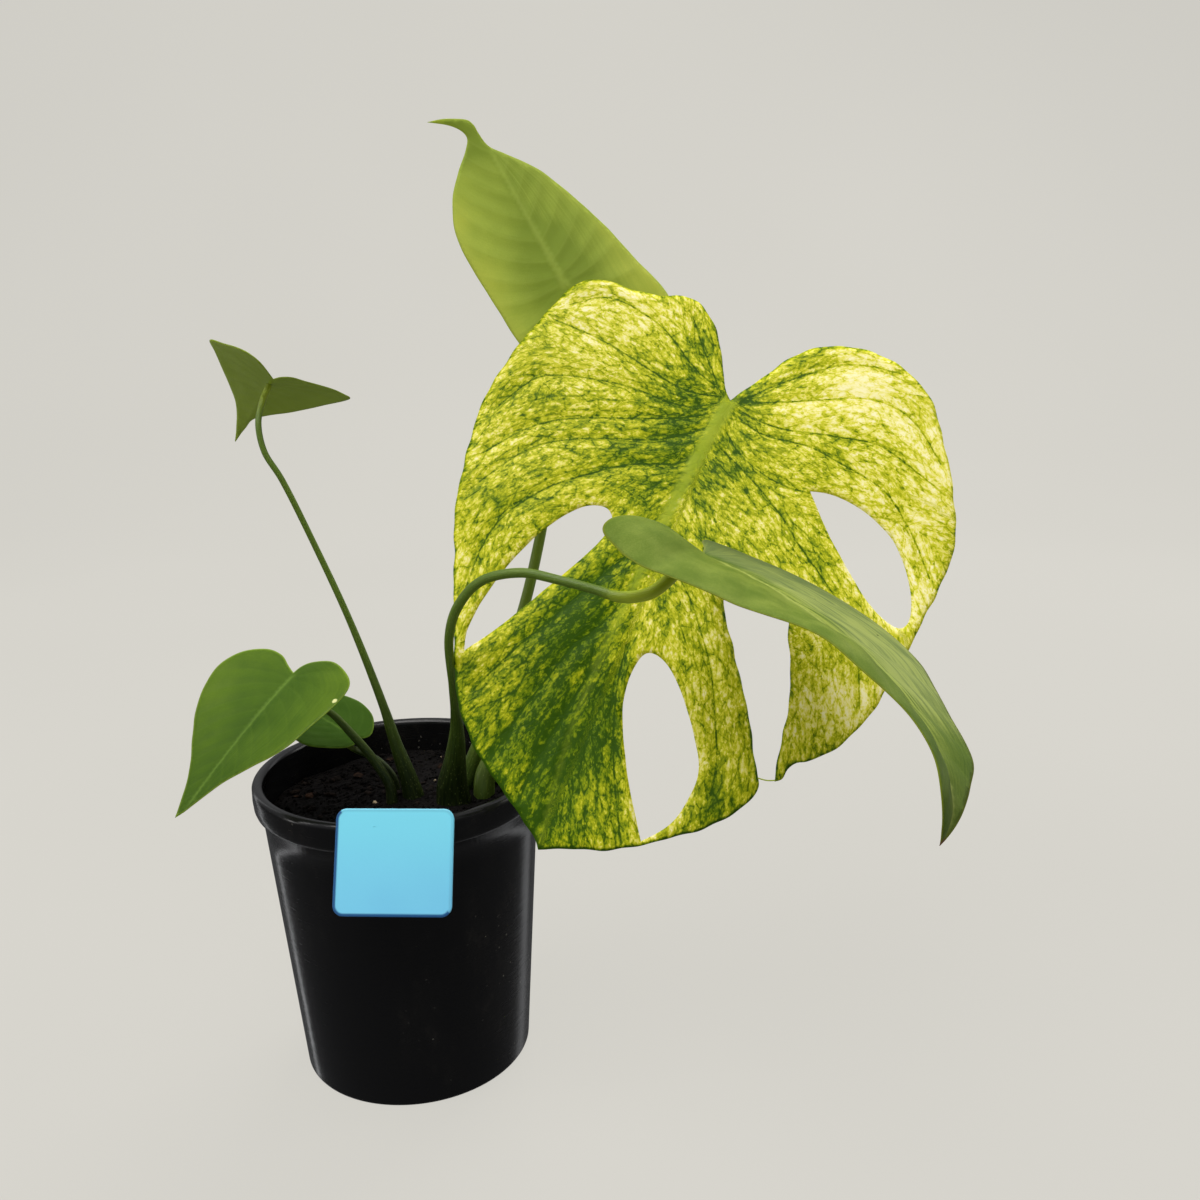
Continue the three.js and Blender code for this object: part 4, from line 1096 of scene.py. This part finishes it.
def build_stalks():
    # Each palette's foot colour is painted shade of the pot's inside
    dark = stalk_look("stalk_green", {"shaded_foot": (6, 14, 3), "body": (66, 88, 16), "streak": (98, 120, 34),
                                      "bend": (142, 156, 26), "rise": 96.0})
    pale = stalk_look("stalk_pale", {"shaded_foot": (52, 70, 20), "body": (116, 136, 46), "streak": (142, 156, 66),
                                     "bend": (156, 170, 50), "rise": 58.0})
    mild = stalk_look("stalk_mild", {"shaded_foot": (26, 44, 10), "body": (98, 120, 36), "streak": (126, 146, 58),
                                     "bend": (156, 168, 50), "rise": 60.0})
    common = {"swell": 0.12, "crease": 0.06, "geniculum": 14, "sheath": 24, "channel": 60, "pale": 0.6}
    styles = {
        "marbled": dict(common, material=pale, sheath=40, geniculum=24),
        "top": dict(common, material=mild, sheath=30),
        "front": dict(common, material=dark, sheath=48, geniculum=44, crease=0.1, pale=0.85, swell=0.26),
        "low_front": dict(common, material=dark, sheath=8, geniculum=8),
        "low_back": dict(common, material=dark, sheath=6, geniculum=6),
        "upper_left": dict(common, material=dark, sheath=34, geniculum=12),
    }
    for key, style in styles.items():
        build_stalk(key, style)


def turned(name, profile, sides):
    """A body turned about Z from a profile of (radius, height) that starts and ends on the axis"""
    places, faces, rings = [], [], []
    for radius, height in profile:
        if radius < 1e-6:
            rings.append([len(places)])
            places.append((0, 0, height))
            continue
        rings.append(range(len(places), len(places) + sides))
        places += [(x, y, height) for x, y in circle(radius, sides)]
    for low, high in zip(rings, rings[1:]):
        for side in range(sides):
            after = (side + 1) % sides
            corners = [low[side % len(low)], low[after % len(low)], high[after % len(high)],
                       high[side % len(high)]]
            faces.append(list(dict.fromkeys(corners)))
    return mesh_piece(name, places, faces)


def build_pot():
    """The pot: rounded foot, tapering wall, stepped shoulder and a rolled rim, with its drain holes"""
    def inner(height):
        return wall_radius(height) - WALL

    profile = [(0, 0), (BASE_RADIUS - 8, 0)]
    profile += arc((BASE_RADIUS - FOOT_ROUND, FOOT_ROUND), (FOOT_ROUND, FOOT_ROUND), -90, 0, 7)
    for share in np.linspace(0.1, 1, 10):
        profile.append((BASE_RADIUS + (SHOULDER_RADIUS - BASE_RADIUS) * share,
                        FOOT_ROUND + (SHOULDER_HEIGHT - FOOT_ROUND) * share))
    # The rolled rim: a soft step out from the wall, a nearly upright band, and a round top
    steps = ((1.8, 0.6), (0.8, 1.6), (0.3, 3), (0, 6.5), (0.1, POT_HEIGHT - SHOULDER_HEIGHT - 2.8))
    profile += [(RIM_RADIUS - inset, SHOULDER_HEIGHT + rise) for inset, rise in steps]
    profile += arc((RIM_RADIUS - 2.4, POT_HEIGHT - 2.4), (2.35, 2.4), 15, 175, 12)
    profile += [(inner(SHOULDER_HEIGHT), SHOULDER_HEIGHT), (inner(80), 80), (inner(40), 40),
                (inner(FLOOR_THICKNESS + 1.5), FLOOR_THICKNESS + 1.5),
                (inner(FLOOR_THICKNESS) - 1.5, FLOOR_THICKNESS), (0, FLOOR_THICKNESS)]
    piece = turned("pot_body", profile, 160)
    drills = []
    for i in range(DRAIN_HOLES["count"]):
        angle = 2 * math.pi * (i + 0.5) / DRAIN_HOLES["count"]
        reach = DRAIN_HOLES["radius"]
        drill = turned(f"drill_{i}", [(0, -4), (reach, -4), (reach, 6), (0, 6)], 32)
        shift = Matrix.Translation(Vector((DRAIN_HOLES["ring"] * math.cos(angle) * MM,
                                           DRAIN_HOLES["ring"] * math.sin(angle) * MM, 0)))
        drill.data.transform(shift)
        drills.append(drill)
        cut = piece.modifiers.new(f"hole_{i}", "BOOLEAN")
        cut.operation = "DIFFERENCE"
        cut.solver = "EXACT"
        cut.object = drill
    bpy.context.view_layer.update()
    finished = bpy.data.meshes.new_from_object(piece.evaluated_get(bpy.context.evaluated_depsgraph_get()))
    piece.modifiers.clear()
    piece.data = finished
    for drill in drills:
        bpy.data.objects.remove(drill)
    settle(piece, "pot", pot_look(), "pot")


def build_label():
    """The plate with soft edges, and the tongue that hooks it over the rim"""
    half_x, half_y = LABEL["width"] / 2, LABEL["height"] / 2
    depth = LABEL["thickness"]

    def ring(inset):
        loop = []
        radius = LABEL["corner"] - inset
        for cx, cy, start in ((1, -1, -90), (1, 1, 0), (-1, 1, 90), (-1, -1, 180)):
            centre = (cx * (half_x - LABEL["corner"]), cy * (half_y - LABEL["corner"]))
            loop += arc(centre, (radius, radius), start, start + 90, 10)
        return loop

    levels = [(0, 0.35), (0.1, 0.1), (0.3, 0), (depth - 0.3, 0), (depth - 0.1, 0.1), (depth, 0.4),
              (depth, 0.8), (depth, 1.4)]
    places, rim = [], []
    count = len(ring(0))
    for level, inset in levels:
        places += [(x, y, level) for x, y in ring(inset)]
        for x, y in ring(inset):
            # Painted shade: the dark edge is at full strength on the left and lower sides, and faint on the
            # others
            side_shade = 1.0 if min(x + half_x, y + half_y) < 2 else 0.2
            rim.append(0.0 if (level, inset) == levels[-1] else side_shade)
    faces = tube_faces(len(levels), count)
    turn = Matrix.Rotation(math.radians(LABEL["yaw"]), 4, "Z")
    lean = Matrix.Rotation(math.radians(90 - LABEL["lean"]), 4, "X")
    set_plate = Matrix.Translation(Vector(LABEL["centre"])) @ turn @ lean
    places = [tuple(set_plate @ Vector(place)) for place in places]
    inner, outer = -LABEL["tongue_inside"], -RIM_RADIUS - 1.2
    thick, top = LABEL["tongue_thickness"], POT_HEIGHT + FIT
    side = [(inner, LABEL["tongue_depth"]), (inner, top + thick), (outer, top + thick), (outer, top),
            (inner - thick, top), (inner - thick, LABEL["tongue_depth"])]
    about = Matrix.Rotation(math.atan2(LABEL["centre"][0], -LABEL["centre"][1]), 4, "Z")
    first = len(places)
    for x in (-LABEL["tongue_width"] / 2, LABEL["tongue_width"] / 2):
        places += [tuple(about @ Vector((x, y, z))) for y, z in side]
        rim += [0.0] * len(side)
    faces += [tuple(first + corner for corner in reversed(face)) for face in tube_faces(2, len(side))]
    piece = mesh_piece("label_plate", places, faces, smooth=False)
    paint(piece, rim=rim)
    settle(piece, "label", label_look(), "label")


def build_soil():
    """The filling: a bumpy top with grains, bark chips and pale bits, on a plain body"""
    rng = np.random.default_rng(11)

    def gap(height):
        return wall_radius(height) - WALL - FIT

    waves = [(rng.uniform(0.05, 0.5), rng.uniform(0, 2 * math.pi), rng.uniform(0, 2 * math.pi))
             for _ in range(26)]

    def top(x, y):
        height = SOIL_LEVEL + 0.9 * (1 - (x * x + y * y) / 54 ** 2)
        for pitch, heading, phase in waves:
            way = x * math.cos(heading) + y * math.sin(heading)
            height = height + 0.09 / (0.4 + pitch) * np.sin(pitch * way + phase)
        return height

    sides, rings = 96, 40
    reach = gap(SOIL_LEVEL - 1.5)
    places, tone = [(0, 0, float(top(0.0, 0.0)))], [0.18]
    for ring in range(1, rings + 1):
        for x, y in circle(reach * ring / rings, sides):
            bump = rng.uniform(-0.35, 0.35) if ring < rings else -0.8
            places.append((x, y, float(top(x, y)) + bump))
            tone.append(rng.uniform(0.02, 0.3))
    for level in (60, FLOOR_THICKNESS + FIT + 1.5):
        places += [(x, y, level) for x, y in circle(gap(level), sides)]
        tone += [0.15] * sides
    faces = [(0, 1 + side, 1 + (side + 1) % sides) for side in range(sides)]
    *walls, _, under = tube_faces(rings + 2, sides)
    faces += [tuple(1 + corner for corner in (face[0], *face[:0:-1])) for face in walls]
    faces.append(tuple(1 + corner for corner in reversed(under)))

    stems = [(plan["base"], max(plan["base_size"])) for plan in STALKS.values()]
    golden = (1 + math.sqrt(5)) / 2
    corners = np.array([(0, a, b * golden) for a in (-1, 1) for b in (-1, 1)], float)
    corners = unit(np.concatenate([corners, np.roll(corners, 1, 1), np.roll(corners, 2, 1)]))
    side = 1.0515
    hull = [(i, j, k) for i in range(12) for j in range(i + 1, 12) for k in range(j + 1, 12)
            if all(abs(np.linalg.norm(corners[a] - corners[b]) - side) < 0.01
                   for a, b in ((i, j), (j, k), (i, k)))]
    hull = [(i, j, k) if np.dot(np.cross(corners[j] - corners[i], corners[k] - corners[i]), corners[i]) > 0
            else (i, k, j) for i, j, k in hull]
    kinds = [(1500, (0.3, 0.9), (0.7, 1.0), (0.0, 0.34)), (260, (0.9, 2.0), (0.35, 0.7), (0.1, 0.55)),
             (46, (1.6, 3.4), (0.25, 0.45), (0.3, 0.72)), (16, (0.5, 1.1), (0.7, 1.0), (0.82, 1.0))]
    for count, size_range, flat_range, tone_range in kinds:
        for _ in range(count):
            radius, angle = (reach - 1.2) * math.sqrt(rng.uniform()), rng.uniform(0, 2 * math.pi)
            x, y = radius * math.cos(angle), radius * math.sin(angle)
            size, flat, shade = rng.uniform(*size_range), rng.uniform(*flat_range), rng.uniform(*tone_range)
            turn = rng.uniform(0, math.pi)
            tilt = rng.normal(0, 0.35)
            jitter = rng.uniform(0.75, 1.2, 12)
            if any(math.hypot(x - sx, y - sy) < room + size * 0.8 for (sx, sy), room in stems):
                continue
            if radius + size > reach:
                continue
            shape = corners * jitter[:, None] * [size, size * rng.uniform(0.5, 0.9), size * flat]
            spin = np.array(Matrix.Rotation(turn, 3, "Z") @ Matrix.Rotation(tilt, 3, "X"))
            shape = shape @ spin.T + [x, y, float(top(x, y)) + size * flat * 0.35]
            first = len(places)
            places += [tuple(place) for place in shape]
            tone += [shade] * 12
            faces += [(first + i, first + j, first + k) for i, j, k in hull]
    piece = mesh_piece("soil_mix", places, faces, smooth=False)
    paint(piece, tone=tone)
    settle(piece, "soil", soil_look(), "soil")


def build_roots():
    roots = root_look()
    for name in ("stem_main", "stem_side"):
        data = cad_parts[name].data
        data.materials.clear()
        data.materials.append(roots)


def build_studio():
    """A pale floor that sweeps up into a wall, and soft lamps"""
    profile = [(-2.6, 0), (1.0, 0)]
    profile += [*arc((1.0, 0.8), (0.8, 0.8), -90, 0, 16)[1:], (1.8, 3.0)]
    places, faces = [], []
    for y, z in profile:
        places += [(-3500, y * 1000, z * 1000), (3500, y * 1000, z * 1000)]
    for i in range(len(profile) - 1):
        faces.append((2 * i, 2 * i + 1, 2 * i + 3, 2 * i + 2))
    sweep = mesh_piece("studio_floor", places, faces)
    sweep.data.materials.append(floor_look())
    sweep.visible_glossy = False
    # A wide bowl fills the view where a camera looks past the sweep, and takes no part in the light
    bowl = [(0, -5), (2400, -5), *arc((2400, 795), (800, 800), -90, 0, 12)[1:], (3200, 3600)]
    surround = turned("studio_surround", bowl, 96)
    surround.data.materials.append(sweep.data.materials[0])
    surround.visible_diffuse = surround.visible_glossy = surround.visible_transmission = False
    surround.visible_shadow = False
    air = Look("studio_air", "worlds")
    bpy.context.scene.world = air.material
    heading = air.split(air.node("TexCoord").outputs["Generated"])
    strength = air.span(heading[2], -0.1, 0.8, 0.1, 0.75, "LINEAR")
    # Two soft upright panels behind the object, which the pot's sides show as pale strips
    azimuth = air.math("ARCTAN2", heading[1], heading[0])
    for degrees, half_width, more in ((141, 2.6, 1.3), (52, 7, 0.6)):
        panel = air.math("COMPARE", azimuth, math.radians(degrees), math.radians(half_width))
        strength = air.more(panel, more, strength)
    sky = air.node("Background", {"Color": (0.97, 0.98, 1.0, 1), "Strength": strength}).outputs[0]
    air.tree.links.new(sky, air.node("OutputWorld").inputs[0])
    # Each lamp: its name, place, aim, width, height and power
    lamps = [
        ("lamp_above", (-0.3, -0.5, 1.8), (0.1, 0.0, 0.2), 1.2, 1.2, 34),
        ("lamp_left", (-1.1, -0.25, 0.54), (0.0, 0.0, 0.3), 0.1, 1.0, 3),
        ("lamp_right", (1.3, 0.35, 0.54), (0.05, 0.0, 0.3), 0.25, 1.0, 3),
        ("lamp_behind", (0.5, 1.2, 1.5), (0.12, 0.0, 0.25), 1.2, 0.9, 46),
    ]
    for name, place, target, width, height, power in lamps:
        data = bpy.data.lights.new(name, "AREA")
        data.shape = "RECTANGLE"
        data.size = width
        data.size_y = height
        data.energy = power
        data.color = (1.0, 0.98, 0.95)
        lamp = bpy.data.objects.new(name, data)
        lamp.location = place
        lamp.rotation_euler = (Vector(target) - Vector(place)).to_track_quat("-Z", "Y").to_euler()
        lamp.visible_glossy = name != "lamp_behind"
        bpy.context.scene.collection.objects.link(lamp)


def build_camera():
    """The viewpoint: 14 degrees down and rolled a little, with a 53 degree view"""
    pitch, roll = math.radians(CAMERA["down"]), math.radians(CAMERA["roll"])
    forward = Vector((0, math.cos(pitch), -math.sin(pitch)))
    level = Vector((1, 0, 0))
    down = forward.cross(level)
    right = math.cos(roll) * level + math.sin(roll) * down
    low = -math.sin(roll) * level + math.cos(roll) * down
    data = bpy.data.cameras.new("camera")
    data.lens = CAMERA["lens"]
    data.sensor_width = CAMERA["film"]
    camera = bpy.data.objects.new("camera", data)
    axes = Matrix((right, -low, -forward)).transposed().to_4x4()
    camera.matrix_world = Matrix.Translation(Vector(CAMERA["place"])) @ axes
    bpy.context.scene.collection.objects.link(camera)
    bpy.context.scene.camera = camera
    bpy.context.scene.view_settings.view_transform = "Standard"


build_camera()
build_studio()
build_pot()
build_soil()
build_label()
build_roots()
build_stalks()
build_leaves()

bpy.context.view_layer.update()
